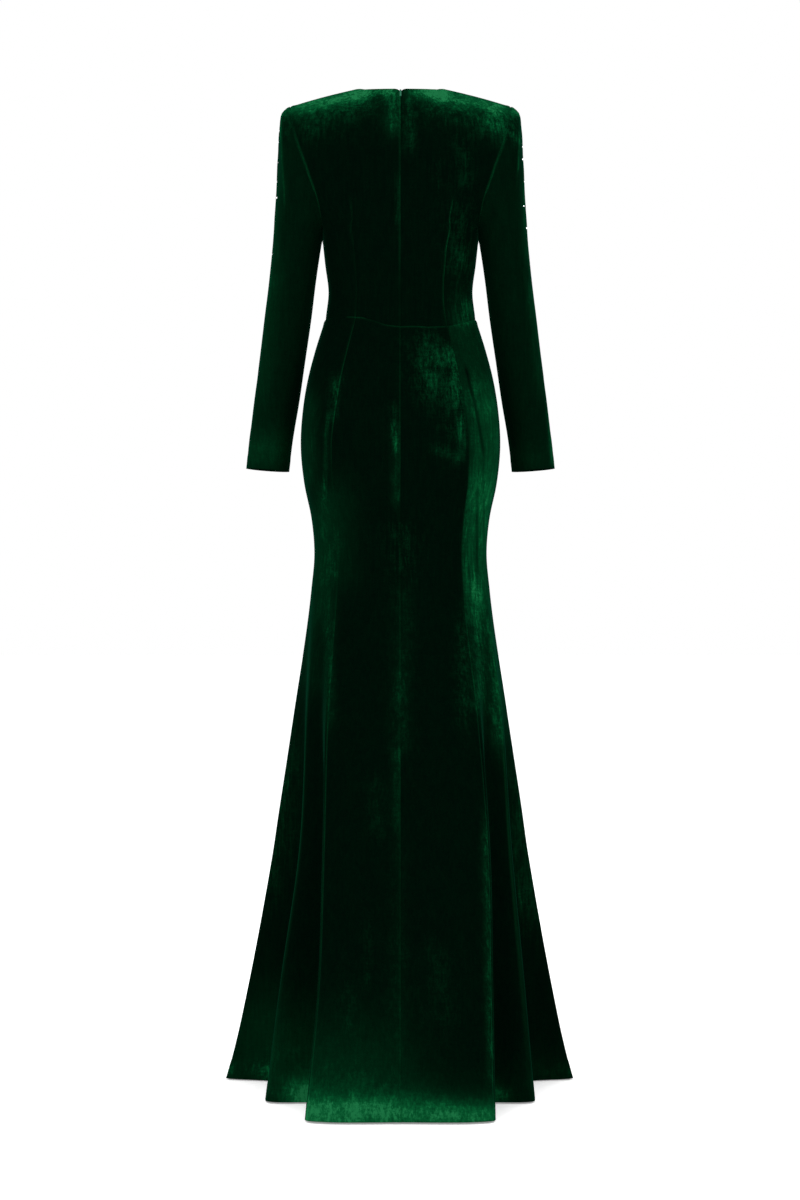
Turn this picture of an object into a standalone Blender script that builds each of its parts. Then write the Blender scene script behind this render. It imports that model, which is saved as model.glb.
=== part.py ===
"""Long-sleeved evening gown, filled out as if worn: 3 bodice pieces, 2 sleeves, 7 skirt panels and a back zip.

Metres, +Z up. The front faces -Y and the wearer's left is +X. Heights are measured up from the hem's plane,
and the origin is the point between the wearer's shoulders that holds the gown up.
"""

import math

import bmesh
import bpy
import numpy as np
from mathutils import Matrix

HOLD_HEIGHT = 1.655
WALL = 0.0015
SEAM_INSET = 0.00016
FULLNESS = 0.86
# Two pieces share their normal at a seam unless it leaves a piece's own by more than this cosine.
FOLDED_BACK = 0.35

# Lines that run the whole way round one half of the gown, from the centre back to the centre front, and the
# shares at which a panel's columns cut the stretch that starts at each line.
LINES = (
    ("centre_back", (0.08, 0.42, 0.76)),
    ("back_flat", (0.5,)),
    ("back_princess", (0.33, 0.67)),
    ("back_valley", (0.5,)),
    ("side_back_flute", (0.33, 0.67)),
    ("side_back_valley", (0.33, 0.67)),
    ("side", (0.33, 0.67)),
    ("side_front_valley", (0.33, 0.67)),
    ("side_front_flute", (0.5,)),
    ("front_valley", (0.33, 0.67)),
    ("front_princess", (0.5,)),
    ("front_flat", (0.24, 0.58, 0.92)),
    ("centre_front", ()),
)
# How far each line is along its stretch of a rounded row: first up to the princess line, then on to the side.
FLAT_SHARE = 0.68
VALLEY_SHARE = 0.3
FLUTE_SHARE = 0.6
SIDE_VALLEY_SHARE = 0.8

# Rounded rows of the skirt: height at the centres, height at the sides, half width, back and front depth,
# the side's own Y, and X of the princess line.
SKIRT_ROWS = (
    # centre, side, half_width, back, front, side_y, princess
    (1.268, 1.288, 0.1265, 0.080, -0.098, -0.008, 0.0755),
    (1.225, 1.232, 0.1440, 0.094, -0.103, -0.006, 0.0880),
    (1.180, 1.184, 0.1560, 0.107, -0.107, -0.003, 0.0985),
    (1.130, 1.131, 0.1643, 0.119, -0.110, -0.001, 0.1070),
    (1.0755, 1.0755, 0.1675, 0.125, -0.111, 0.000, 0.1135),
    (1.010, 1.010, 0.1615, 0.121, -0.109, 0.000, 0.1120),
    (0.950, 0.950, 0.1492, 0.109, -0.106, 0.000, 0.1050),
    (0.890, 0.890, 0.1444, 0.101, -0.106, 0.000, 0.1020),
    (0.830, 0.830, 0.1495, 0.104, -0.109, 0.000, 0.1050),
)
# Folded rows below them. Each gives X of the six lines from back_flat to the side, on the wearer's left and
# right, and Y of the seven lines from the centre back to the side.
BACK_FOLDS = (
    {
        "height": 0.62,
        "left": (0.080, 0.1180, 0.130, 0.1540, 0.1590, 0.1795),
        "right": (0.085, 0.1265, 0.138, 0.1670, 0.1685, 0.1795),
        "depth": (0.162, 0.156, 0.138, 0.104, 0.080, 0.045, 0.000),
    },
    {
        "height": 0.40,
        "left": (0.090, 0.1225, 0.121, 0.1640, 0.1600, 0.2145),
        "right": (0.104, 0.1415, 0.137, 0.1810, 0.1720, 0.2145),
        "depth": (0.226, 0.223, 0.207, 0.140, 0.118, 0.047, 0.000),
    },
    {
        "height": 0.20,
        "left": (0.098, 0.1280, 0.122, 0.1910, 0.1740, 0.2510),
        "right": (0.110, 0.1435, 0.136, 0.1980, 0.1810, 0.2500),
        "depth": (0.286, 0.285, 0.270, 0.172, 0.154, 0.044, 0.000),
    },
    {
        "height": 0.00,
        "left": (0.116, 0.1455, 0.132, 0.2146, 0.1920, 0.2930),
        "right": (0.115, 0.1445, 0.131, 0.2135, 0.1900, 0.2900),
        "depth": (0.345, 0.344, 0.330, 0.203, 0.188, 0.036, 0.000),
    },
)
# The same for the front, from front_flat out to side_front_valley, and Y from the centre front.
FRONT_FOLDS = (
    {
        "height": 0.62,
        "left": (0.078, 0.1130, 0.124, 0.1510, 0.1580),
        "right": (0.080, 0.1160, 0.126, 0.1550, 0.1600),
        "depth": (-0.133, -0.130, -0.113, -0.086, -0.064, -0.036),
    },
    {
        "height": 0.40,
        "left": (0.090, 0.1260, 0.126, 0.1690, 0.1660),
        "right": (0.094, 0.1310, 0.130, 0.1740, 0.1700),
        "depth": (-0.162, -0.160, -0.145, -0.100, -0.084, -0.038),
    },
    {
        "height": 0.20,
        "left": (0.100, 0.1360, 0.129, 0.1960, 0.1810),
        "right": (0.101, 0.1390, 0.133, 0.1980, 0.1830),
        "depth": (-0.189, -0.188, -0.173, -0.110, -0.099, -0.038),
    },
    {
        "height": 0.00,
        "left": (0.109, 0.1440, 0.134, 0.2220, 0.1980),
        "right": (0.107, 0.1420, 0.133, 0.2180, 0.1960),
        "depth": (-0.215, -0.215, -0.198, -0.120, -0.112, -0.038),
    },
)
# Heights, at the side, of the rows that the skirt's mesh has below its waist seam.
SKIRT_HEIGHTS = (1.184, 1.131, 1.0755, 1.010, 0.950, 0.890, 0.830, 0.73, 0.62, 0.51, 0.40, 0.30, 0.20, 0.10, 0.0)

# Rounded rows of the bodice between the waist seam and the underarm.
BODICE_ROWS = (
    # centre, side, half_width, back, front, side_y
    (1.327, 1.334, 0.1206, 0.076, -0.098, -0.008),
    (1.378, 1.382, 0.1262, 0.083, -0.107, -0.004),
)
# Rows from the underarm up. Each ends on the armhole, at an angle round it from the underarm.
UPPER_BACK = (
    # armhole_angle, centre_height, centre_depth, arc_end
    (0, 1.428, 0.0900, 90),
    (30, 1.463, 0.0940, 80),
    (60, 1.504, 0.0955, 71),
    (90, 1.548, 0.0925, 65),
    (120, 1.593, 0.0840, 62),
    (150, 1.635, 0.0700, 62),
)
UPPER_FRONT = (
    (0, 1.421, -0.1130, 90),
    (30, 1.451, -0.1150, 80),
    (60, 1.485, -0.1125, 71),
    (90, 1.518, -0.1080, 65),
    (120, 1.549, -0.1010, 62),
    (150, 1.577, -0.0940, 62),
)
# An angle between the last of these rows and the shoulder seam, where the cloth turns over the shoulder.
OVER_SHOULDER = 166
BUST_X = 0.078
BUST_HEIGHT = 1.412
BUST_RISE = 0.014
BUST_SPREAD = 0.048

NECK_SIDE = (0.0638, -0.006, 1.680)
NECK_BACK = (0.055, 1.6690)
NECK_FRONT = (-0.087, 1.600)
NOTCH_DEPTH = 0.0055
UNDERARM = (0.1312, 0.000, 1.431)
SHOULDER_TIP = (0.1865, 0.000, 1.6480)
ARMHOLE_DEPTH = 0.062
SHOULDER_ARCH = 0.0015

# Rings of the sleeve below its armhole: where each crosses the arm's inner and outer side, half its depth,
# its middle's Y, and how far it still follows the armhole's curve.
SLEEVE_RINGS = (
    # inner_x, inner_height, outer_x, outer_height, half_depth, middle_y, armhole_curve
    (0.1328, 1.4272, 0.1984, 1.6405, 0.0615, 0.000, 0.8),
    (0.1343, 1.4232, 0.2042, 1.6120, 0.0595, 0.000, 0.6),
    (0.1357, 1.4185, 0.2068, 1.5640, 0.0565, 0.000, 0.3),
    (0.1370, 1.4110, 0.2090, 1.5040, 0.0535, -0.001, 0.1),
    (0.1390, 1.3990, 0.2142, 1.4340, 0.0510, -0.002, 0.0),
    (0.1454, 1.3560, 0.2219, 1.3560, 0.0495, -0.004, 0.0),
    (0.1539, 1.2880, 0.2304, 1.2880, 0.0475, -0.006, 0.0),
    (0.1640, 1.2200, 0.2389, 1.2200, 0.0455, -0.010, 0.0),
    (0.1743, 1.1520, 0.2490, 1.1520, 0.0430, -0.018, 0.0),
    (0.1862, 1.0840, 0.2576, 1.0840, 0.0400, -0.028, 0.0),
    (0.1930, 1.0320, 0.2627, 1.0370, 0.0375, -0.036, 0.0),
)

# The zip, in a frame of its own on the cloth at the bottom of the neck's notch, its Z up the cloth. The pull
# tab's hinge axis is out of the cloth and up from that point.
AXIS_OUT = 0.0020
AXIS_UP = 0.0022
LUG_RADIUS = 0.0012
LUG_HOLE = 0.0006
LUG_WIDTH = 0.0011
BACKING_GAP = 0.0007
SLIDER_SIZE = (0.0048, 0.0020, 0.0085)
TAB_SIZE = (0.0030, 0.0008, 0.0125)
TAB_WINDOW = (0.0017, 0.0015)
PIN = 0.0008
NECK_HEIGHT = 0.0016
NECK_CLEARANCE = 0.0002


def spline(knots, values, places):
    """Reads, at the places, the smooth curve through values at rising knots."""
    knots = np.asarray(knots, float)
    values = np.asarray(values, float)
    places = np.asarray(places, float)
    wide = (slice(None),) + (None,) * (values.ndim - 1)
    step = np.diff(knots)[wide]
    slope = np.diff(values, axis=0) / step
    tangent = np.empty_like(values)
    tangent[0] = slope[0]
    tangent[-1] = slope[-1]
    tangent[1:-1] = (step[1:] * slope[:-1] + step[:-1] * slope[1:]) / (step[1:] + step[:-1])
    at = np.clip(np.searchsorted(knots, places, side="right") - 1, 0, len(step) - 1)
    t = ((places - knots[at]) / np.diff(knots)[at])[wide]
    start = (2 * t**3 - 3 * t**2 + 1) * values[at] + (t**3 - 2 * t**2 + t) * step[at] * tangent[at]
    end = (3 * t**2 - 2 * t**3) * values[at + 1] + (t**3 - t**2) * step[at] * tangent[at + 1]
    return start + end


def columns_of(line_places):
    """Places of every column, from the places of the 13 lines and the shares between them."""
    places = [line_places[0]]
    for index, (_, shares) in enumerate(LINES[:-1]):
        first, last = line_places[index], line_places[index + 1]
        places += [first + share * (last - first) for share in shares] + [last]
    return np.array(places)


def line_angles(half_width, princess):
    """Angles of the 7 lines from a centre to the side on a rounded row, as shares of a quarter turn."""
    turn = math.asin((princess / half_width) ** (1 / FULLNESS)) / (math.pi / 2)
    rest = 1 - turn
    beyond = [turn + share * rest for share in (VALLEY_SHARE, FLUTE_SHARE, SIDE_VALLEY_SHARE)]
    return [0, FLAT_SHARE * turn, turn] + beyond + [1]


def arc_row(shares, centre, edge, arc_end=90):
    """A quarter of a rounded row, from its centre (y, height) to its edge (x, y, height)."""
    end = math.radians(arc_end)
    across = (np.sin(shares * end) / math.sin(end)) ** FULLNESS
    rest = max(math.cos(end), 0) ** FULLNESS
    depth = (np.clip(np.cos(shares * end), 0, 1) ** FULLNESS - rest) / (1 - rest)
    rise = np.sin(shares * math.pi / 2)
    row = np.empty((len(shares), 3))
    row[:, 0] = edge[0] * across
    row[:, 1] = edge[1] + (centre[0] - edge[1]) * depth
    row[:, 2] = centre[1] + (edge[2] - centre[1]) * rise
    return row


def rounded_half(centre, side, half_width, back, front, side_y, angles):
    """A rounded row from the centre back, round the side, to the centre front."""
    places = columns_of(angles + [2 - angle for angle in angles[-2::-1]])
    edge = (half_width, side_y, side)
    middle = len(places) // 2
    back_part = arc_row(places[: middle + 1], (back, centre), edge)
    front_part = arc_row(2 - places[middle:], (front, centre), edge)
    return np.concatenate([back_part, front_part[1:]])


def folded_half(back_fold, front_fold, hand):
    """A folded row from the centre back to the centre front, on one hand."""
    back_x = (0,) + back_fold[hand]
    front_x = (0,) + front_fold[hand]
    points = list(zip(back_x, back_fold["depth"]))
    points += list(zip(front_x, front_fold["depth"]))[::-1]
    points = np.array([(-points[1][0], points[1][1])] + points + [(-points[-2][0], points[-2][1])])
    chords = np.sqrt(np.linalg.norm(np.diff(points, axis=0), axis=1))
    knots = np.concatenate([[0], np.cumsum(chords)])
    plan = spline(knots, points, columns_of(list(knots[1:-1])))
    return np.column_stack([plan, np.full(len(plan), back_fold["height"])])


def skirt_half(hand):
    """Every row of one half of the skirt, from the waist seam down to the hem."""
    rows = []
    heights = []
    for centre, side, half_width, back, front, side_y, princess in SKIRT_ROWS:
        angles = line_angles(half_width, princess)
        rows.append(rounded_half(centre, side, half_width, back, front, side_y, angles))
        heights.append(side)
    for back_fold, front_fold in zip(BACK_FOLDS, FRONT_FOLDS):
        rows.append(folded_half(back_fold, front_fold, hand))
        heights.append(back_fold["height"])
    return spline(-np.array(heights), rows, -np.array((heights[0],) + SKIRT_HEIGHTS))


def armhole(angle):
    """The armhole seam at an angle round it: 0 underarm, 90 back, 180 shoulder."""
    turn = math.radians(angle)
    share = (1 - math.cos(turn)) / 2
    eased = share * share * (3 - 2 * share)
    x = UNDERARM[0] + (SHOULDER_TIP[0] - UNDERARM[0]) * eased
    height = UNDERARM[2] + (SHOULDER_TIP[2] - UNDERARM[2]) * share
    return (x, ARMHOLE_DEPTH * math.sin(turn), height)


def top_row(below, neck):
    """The neck edge from its centre (y, height) to the neck's side, then the shoulder seam to the armhole.

    Its points lie above those of the row below, which gives the spacing of the columns.
    """
    row = np.empty_like(below)
    neck_width = below[NECK_COLUMNS, 0]
    round_neck = np.arcsin(np.clip(below[:, 0] / neck_width, 0, 1))
    row[:, 0] = NECK_SIDE[0] * np.sin(round_neck)
    row[:, 1] = NECK_SIDE[1] + (neck[0] - NECK_SIDE[1]) * np.cos(round_neck)
    row[:, 2] = NECK_SIDE[2] + (neck[1] - NECK_SIDE[2]) * np.cos(round_neck)
    along = np.clip((below[:, 0] - neck_width) / (below[-1, 0] - neck_width), 0, 1)
    row += along[:, None] * (np.array(SHOULDER_TIP) - NECK_SIDE)
    row[:, 2] += SHOULDER_ARCH * np.sin(along * math.pi)
    return row


def bust(points):
    """Moves front points out over the bust."""
    away = (points[..., 0] - BUST_X) ** 2 + (points[..., 2] - BUST_HEIGHT) ** 2
    points[..., 1] -= BUST_RISE * np.exp(-away / BUST_SPREAD**2)
    return points


def bodice_quarter(upper_rows, neck, face):
    """Rows of a quarter of the bodice from the waist seam up to its top, columns from its centre out."""
    centre, side, half_width, back, front, side_y, princess = SKIRT_ROWS[0]
    angles = line_angles(half_width, princess)
    shares = columns_of(angles + [1] * (len(LINES) - len(angles)))[: COLUMNS_TO_SIDE + 1]
    depth = {"back": back, "front": front}[face]
    rows = [arc_row(shares, (depth, centre), (half_width, side_y, side))]
    for centre, side, half_width, back, front, side_y in BODICE_ROWS:
        depth = {"back": back, "front": front}[face]
        rows.append(arc_row(shares, (depth, centre), (half_width, side_y, side)))
    for angle, height, depth, arc_end in upper_rows:
        edge = np.array(armhole(angle)) * (1, math.copysign(1, depth), 1)
        rows.append(arc_row(shares, (depth, height), edge, arc_end))
    rows.append(top_row(rows[-1], neck))
    return np.array(rows)


def turned_over(face, other_face):
    """The face's rows with one more near its top, which leads over the shoulder into the other face."""
    beyond = 2 * face[-1] - face[-2]
    beyond[NECK_COLUMNS:] = other_face[-2, NECK_COLUMNS:]
    angles = (120, 150, 180, 210)
    extra = spline(angles, np.array([face[-3], face[-2], face[-1], beyond]), [OVER_SHOULDER])
    edge = armhole(OVER_SHOULDER)
    extra[0, -1] = (edge[0], math.copysign(edge[1], face[-2, -1, 1]), edge[2])
    return np.concatenate([face[:-1], extra, face[-1:]])


def sleeve_rings(first_ring):
    """Rings of the wearer's left sleeve from its armhole to its cuff."""
    half_turn = [row[0] for row in UPPER_BACK] + [OVER_SHOULDER, 180]
    turns = np.radians(half_turn + [360 - angle for angle in half_turn[-2::-1]])
    share = (1 - np.cos(turns)) / 2
    sway = share * share * (3 - 2 * share) - share
    rings = [first_ring]
    for inner_x, inner_height, outer_x, outer_height, half_depth, middle_y, curve in SLEEVE_RINGS:
        ring = np.empty((len(turns), 3))
        ring[:, 0] = inner_x + (outer_x - inner_x) * (share + curve * sway)
        ring[:, 1] = middle_y + half_depth * np.sin(turns)
        ring[:, 2] = inner_height + (outer_height - inner_height) * share
        ring[-1] = ring[0]
        rings.append(ring)
    return np.array(rings)


def mirrored(grid):
    """The same grid on the wearer's right, with its columns turned round so that it still faces out."""
    return (grid * (-1, 1, 1))[:, ::-1]


def cut_skirt():
    """The seven skirt panels, and the left half that they were cut from."""
    halves = {hand: skirt_half(hand) for hand in ("left", "right")}
    princess = NECK_COLUMNS + len(LINES[1][1]) + 1
    front_princess = 2 * COLUMNS_TO_SIDE - princess
    pieces = {}
    for hand, half in halves.items():
        turn = {"left": lambda grid: grid, "right": mirrored}[hand]
        pieces["skirt_back_" + hand] = turn(half[:, : princess + 1])
        pieces["skirt_side_back_" + hand] = turn(half[:, princess : COLUMNS_TO_SIDE + 1])
        pieces["skirt_side_front_" + hand] = turn(half[:, COLUMNS_TO_SIDE : front_princess + 1])
    front_left = halves["left"][:, front_princess:]
    front_right = mirrored(halves["right"][:, front_princess:])
    pieces["skirt_front"] = np.concatenate([front_left, front_right[:, 1:]], axis=1)
    return pieces, halves["left"]


def cut_bodice(waist):
    """The bodice front, the two backs and the sleeves, above a row of points on the waist seam."""
    back = bodice_quarter(UPPER_BACK, NECK_BACK, "back")
    front = bust(bodice_quarter(UPPER_FRONT, NECK_FRONT, "front"))
    # The front takes its shoulder seam, side seam and waist from the same points as the pieces it meets.
    front[-1, NECK_COLUMNS:] = back[-1, NECK_COLUMNS:]
    underarm_row = len(BODICE_ROWS) + 1
    front[: underarm_row + 1, -1] = back[: underarm_row + 1, -1]
    back[0] = waist[: COLUMNS_TO_SIDE + 1]
    front[0] = waist[COLUMNS_TO_SIDE:][::-1]
    back, front = turned_over(back, front)[::-1], turned_over(front, back)[::-1]
    back[0, 0] += (back[1, 0] - back[0, 0]) * NOTCH_DEPTH / (back[0, 0, 2] - back[1, 0, 2])
    pieces = {"bodice_back_left": back, "bodice_back_right": mirrored(back)}
    pieces["bodice_front"] = np.concatenate([front[:, ::-1], (front * (-1, 1, 1))[:, 1:]], axis=1)

    down_to_underarm = len(back) - underarm_row - 1
    up_the_back = back[down_to_underarm::-1, -1]
    down_the_front = front[: down_to_underarm + 1, -1]
    rings = sleeve_rings(np.concatenate([up_the_back, down_the_front[1:]]))
    pieces["sleeve_left"] = rings
    pieces["sleeve_right"] = mirrored(rings)
    return pieces


def cut_panels():
    """Outer points of every cloth piece, as rows down it and columns round it to the wearer's left."""
    pieces, left_half = cut_skirt()
    pieces.update(cut_bodice(left_half[0]))
    return {name: grid - (0, 0, HOLD_HEIGHT) for name, grid in pieces.items()}


def unit(vectors):
    return vectors / np.linalg.norm(vectors, axis=-1, keepdims=True)


def face_sums(grid):
    """The sum of the face normals round each point of a grid."""
    across = np.diff(grid, axis=1)
    down = np.diff(grid, axis=0)
    faces = unit(np.cross(across[:-1] + across[1:], down[:, :-1] + down[:, 1:]))
    sums = np.zeros(grid.shape)
    sums[:-1, :-1] += faces
    sums[:-1, 1:] += faces
    sums[1:, :-1] += faces
    sums[1:, 1:] += faces
    if np.array_equal(grid[:, 0], grid[:, -1]):
        sums[:, 0] += sums[:, -1]
        sums[:, -1] = sums[:, 0]
    return sums


def shared_normals(pieces):
    """Normals summed over the pieces that meet at a point, so that seams match, except under the arm.

    There the sleeve folds back on the bodice, and each piece keeps its own normal.
    """
    own = {name: face_sums(grid) for name, grid in pieces.items()}
    shared = {}
    for name, grid in pieces.items():
        edge = np.ones(grid.shape[:2], bool)
        edge[1:-1, 1:-1] = False
        for point, vector in zip(grid[edge], own[name][edge]):
            shared[tuple(point)] = shared.get(tuple(point), 0) + vector
    normals = {}
    for name, grid in pieces.items():
        flat = unit(own[name].reshape(-1, 3))
        for index, point in enumerate(grid.reshape(-1, 3)):
            together = shared.get(tuple(point))
            if together is not None and flat[index] @ unit(together) > FOLDED_BACK:
                flat[index] = unit(together)
        normals[name] = flat.reshape(grid.shape)
    return normals


def step_in(points, towards):
    """Moves edge points towards their neighbours, which leaves the gap at a seam."""
    return points + unit(towards - points) * SEAM_INSET


def inset(grid, is_tube):
    """The grid with its edges drawn in at the seams."""
    result = grid.copy()
    result[0] = step_in(grid[0], grid[1])
    result[-1] = step_in(grid[-1], grid[-2])
    if not is_tube:
        edges = result.copy()
        result[:, 0] = step_in(edges[:, 0], edges[:, 1])
        result[:, -1] = step_in(edges[:, -1], edges[:, -2])
    return result


def cloth_piece(name, grid, normals, material, collection):
    """A closed wall: the grid is its outer face, and an extrusion of it, moved in, is its inner face."""
    is_tube = np.array_equal(grid[:, 0], grid[:, -1])
    outer = inset(grid, is_tube)
    rows, columns = grid.shape[:2]
    mesh = bmesh.new()
    bmesh.ops.create_grid(mesh, x_segments=columns - 1, y_segments=rows - 1, size=0.5)
    inward = mesh.verts.layers.float_vector.new("inward")
    for vertex in mesh.verts:
        column = round((vertex.co.x + 0.5) * (columns - 1))
        row = round((vertex.co.y + 0.5) * (rows - 1))
        vertex.co = outer[row, column]
        vertex[inward] = -WALL * normals[row, column]
    if is_tube:
        bmesh.ops.remove_doubles(mesh, verts=mesh.verts, dist=0.00001)
    made = bmesh.ops.extrude_face_region(mesh, geom=mesh.faces[:])
    for item in made["geom"]:
        if isinstance(item, bmesh.types.BMVert):
            item.co += item[inward]
    bmesh.ops.recalc_face_normals(mesh, faces=mesh.faces)
    data = bpy.data.meshes.new(name)
    mesh.to_mesh(data)
    mesh.free()
    data.shade_smooth()
    data.set_sharp_from_angle(angle=math.radians(50))
    data.materials.append(material)
    piece = bpy.data.objects.new(name, data)
    collection.objects.link(piece)
    return piece


def box(name, size, centre, material, collection):
    """A box of a size about a centre, in the zip's frame."""
    mesh = bmesh.new()
    bmesh.ops.create_cube(mesh, size=1)
    bmesh.ops.scale(mesh, vec=size, verts=mesh.verts)
    bmesh.ops.translate(mesh, vec=centre, verts=mesh.verts)
    return zip_object(name, mesh, material, collection)


def rod(name, radius, length, material, collection):
    """A round rod along the hinge axis, in the zip's frame."""
    mesh = bmesh.new()
    bmesh.ops.create_cone(mesh, cap_ends=True, segments=24, radius1=radius, radius2=radius, depth=length)
    turn = Matrix.Rotation(math.radians(90), 3, "Y")
    bmesh.ops.rotate(mesh, matrix=turn, verts=mesh.verts)
    return zip_object(name, mesh, material, collection)


def zip_object(name, mesh, material, collection):
    data = bpy.data.meshes.new(name)
    mesh.to_mesh(data)
    mesh.free()
    data.materials.append(material)
    piece = bpy.data.objects.new(name, data)
    collection.objects.link(piece)
    return piece


def combine(target, other, operation):
    """Adds a Boolean of another solid."""
    other.hide_render = True
    other.display_type = "WIRE"
    modifier = target.modifiers.new(operation.title() + "_" + other.name, "BOOLEAN")
    modifier.operation = operation
    modifier.object = other


def make_zip(notch, below, material, parts, cutters):
    """The slider behind the cloth, with a lug that reaches out through the notch, and the pull tab on it."""
    back_face = -AXIS_OUT - WALL - BACKING_GAP
    body_centre = (0, back_face - SLIDER_SIZE[1] / 2, -SLIDER_SIZE[2] / 4)
    slider = box("zip_slider", SLIDER_SIZE, body_centre, material, parts)
    neck_length = -back_face - LUG_HOLE - NECK_CLEARANCE + SLIDER_SIZE[1] / 2
    neck_size = (LUG_WIDTH, neck_length, NECK_HEIGHT)
    neck_centre = (0, -LUG_HOLE - NECK_CLEARANCE - neck_length / 2, 0)
    neck = box("slider_neck", neck_size, neck_centre, material, cutters)
    combine(slider, neck, "UNION")
    lug = rod("slider_lug", LUG_RADIUS, LUG_WIDTH, material, cutters)
    combine(slider, lug, "UNION")
    hole = rod("slider_lug_hole", LUG_HOLE, 2 * LUG_WIDTH, material, cutters)
    combine(slider, hole, "DIFFERENCE")

    tab_centre = (0, 0, PIN / 2 - TAB_SIZE[2] / 2)
    tab = box("zip_pull_tab", TAB_SIZE, tab_centre, material, parts)
    window_size = (TAB_WINDOW[0], 2 * TAB_SIZE[1], TAB_WINDOW[1])
    window_centre = (0, 0, -PIN / 2 - TAB_WINDOW[1] / 2)
    window = box("tab_window", window_size, window_centre, material, cutters)
    combine(tab, window, "DIFFERENCE")

    lean = math.atan2(below[1] - notch[1], notch[2] - below[2])
    out = np.array((0, math.cos(lean), math.sin(lean)))
    up = np.array((0, -math.sin(lean), math.cos(lean)))
    for piece in (slider, neck, lug, hole, tab, window):
        piece.location = notch + AXIS_OUT * out + AXIS_UP * up
        piece.rotation_euler = (lean, 0, 0)


def plain_material(name, colour, roughness, metallic):
    material = bpy.data.materials.new(name)
    material.use_nodes = True
    shader = material.node_tree.nodes["Principled BSDF"]
    shader.inputs["Base Color"].default_value = (*colour, 1)
    shader.inputs["Roughness"].default_value = roughness
    shader.inputs["Metallic"].default_value = metallic
    return material


def new_collection(name):
    collection = bpy.data.collections.new(name)
    bpy.context.scene.collection.children.link(collection)
    return collection


NECK_COLUMNS = len(LINES[0][1]) + 1
COLUMNS_TO_SIDE = sum(len(shares) + 1 for _, shares in LINES[:6])

for old in list(bpy.data.objects):
    bpy.data.objects.remove(old)
gown = new_collection("evening_gown")
cutters = new_collection("cutters")
cutters.hide_render = True

panels = cut_panels()
panel_normals = shared_normals(panels)
for panel_name, panel_grid in panels.items():
    velvet = plain_material(panel_name + "_velvet", (0.002, 0.030, 0.014), 0.9, 0.0)
    cloth_piece(panel_name, panel_grid, panel_normals[panel_name], velvet, gown)
lacquer = plain_material("zip_lacquer", (0.01, 0.16, 0.08), 0.4, 0.6)
centre_back = panels["bodice_back_left"][:, 0]
make_zip(centre_back[0], centre_back[1], lacquer, gown, cutters)
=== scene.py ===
import math

import bmesh
import bpy
import numpy as np
from mathutils import Matrix, Vector


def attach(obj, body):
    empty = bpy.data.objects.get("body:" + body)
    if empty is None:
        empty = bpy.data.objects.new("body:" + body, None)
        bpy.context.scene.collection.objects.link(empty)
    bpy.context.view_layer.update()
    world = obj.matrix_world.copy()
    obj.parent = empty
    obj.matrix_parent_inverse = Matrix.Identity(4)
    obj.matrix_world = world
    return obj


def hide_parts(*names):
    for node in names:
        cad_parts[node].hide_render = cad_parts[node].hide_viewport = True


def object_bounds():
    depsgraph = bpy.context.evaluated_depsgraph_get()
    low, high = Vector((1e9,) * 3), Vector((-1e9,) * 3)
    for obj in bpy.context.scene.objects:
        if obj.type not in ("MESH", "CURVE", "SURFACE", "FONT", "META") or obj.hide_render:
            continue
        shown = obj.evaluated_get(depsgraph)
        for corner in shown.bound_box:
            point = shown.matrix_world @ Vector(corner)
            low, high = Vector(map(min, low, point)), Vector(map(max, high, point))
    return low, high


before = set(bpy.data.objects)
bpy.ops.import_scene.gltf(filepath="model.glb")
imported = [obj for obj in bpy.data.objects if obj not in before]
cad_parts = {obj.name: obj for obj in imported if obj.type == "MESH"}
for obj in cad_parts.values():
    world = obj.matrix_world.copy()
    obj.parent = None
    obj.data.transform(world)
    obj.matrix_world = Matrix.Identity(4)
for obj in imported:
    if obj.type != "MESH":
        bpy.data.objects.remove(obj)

cad_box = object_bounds()


# ---------------------------------------------------------------------------------------------------------
# The skirt. Seven panels of silk velvet from the waist seam to the hem, joined down the princess lines, the
# sides and the centre back. It is close over the hips and thighs, then flares into flutes that stand out
# behind as a short sweep. Each panel is a thin wall, with its seams sewn in and its hem turned up inside.

HOLD_HEIGHT = 1.655
WALL = 0.0014
FULLNESS = 0.86

# Lines down one half of the gown, the columns between each and the next, and whether a seam runs there.
LINES = (
    ("centre_back", 18, True),
    ("back_flat", 8, False),
    ("back_princess", 14, True),
    ("back_valley", 12, False),
    ("side_back_flute", 14, False),
    ("side_back_valley", 12, False),
    ("side", 12, True),
    ("side_front_valley", 14, False),
    ("side_front_flute", 12, False),
    ("front_valley", 14, False),
    ("front_princess", 8, True),
    ("front_flat", 18, False),
    ("centre_front", 0, True),
)
FLAT_SHARE = 0.68
VALLEY_SHARE = 0.3
FLUTE_SHARE = 0.6
SIDE_VALLEY_SHARE = 0.8

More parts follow.
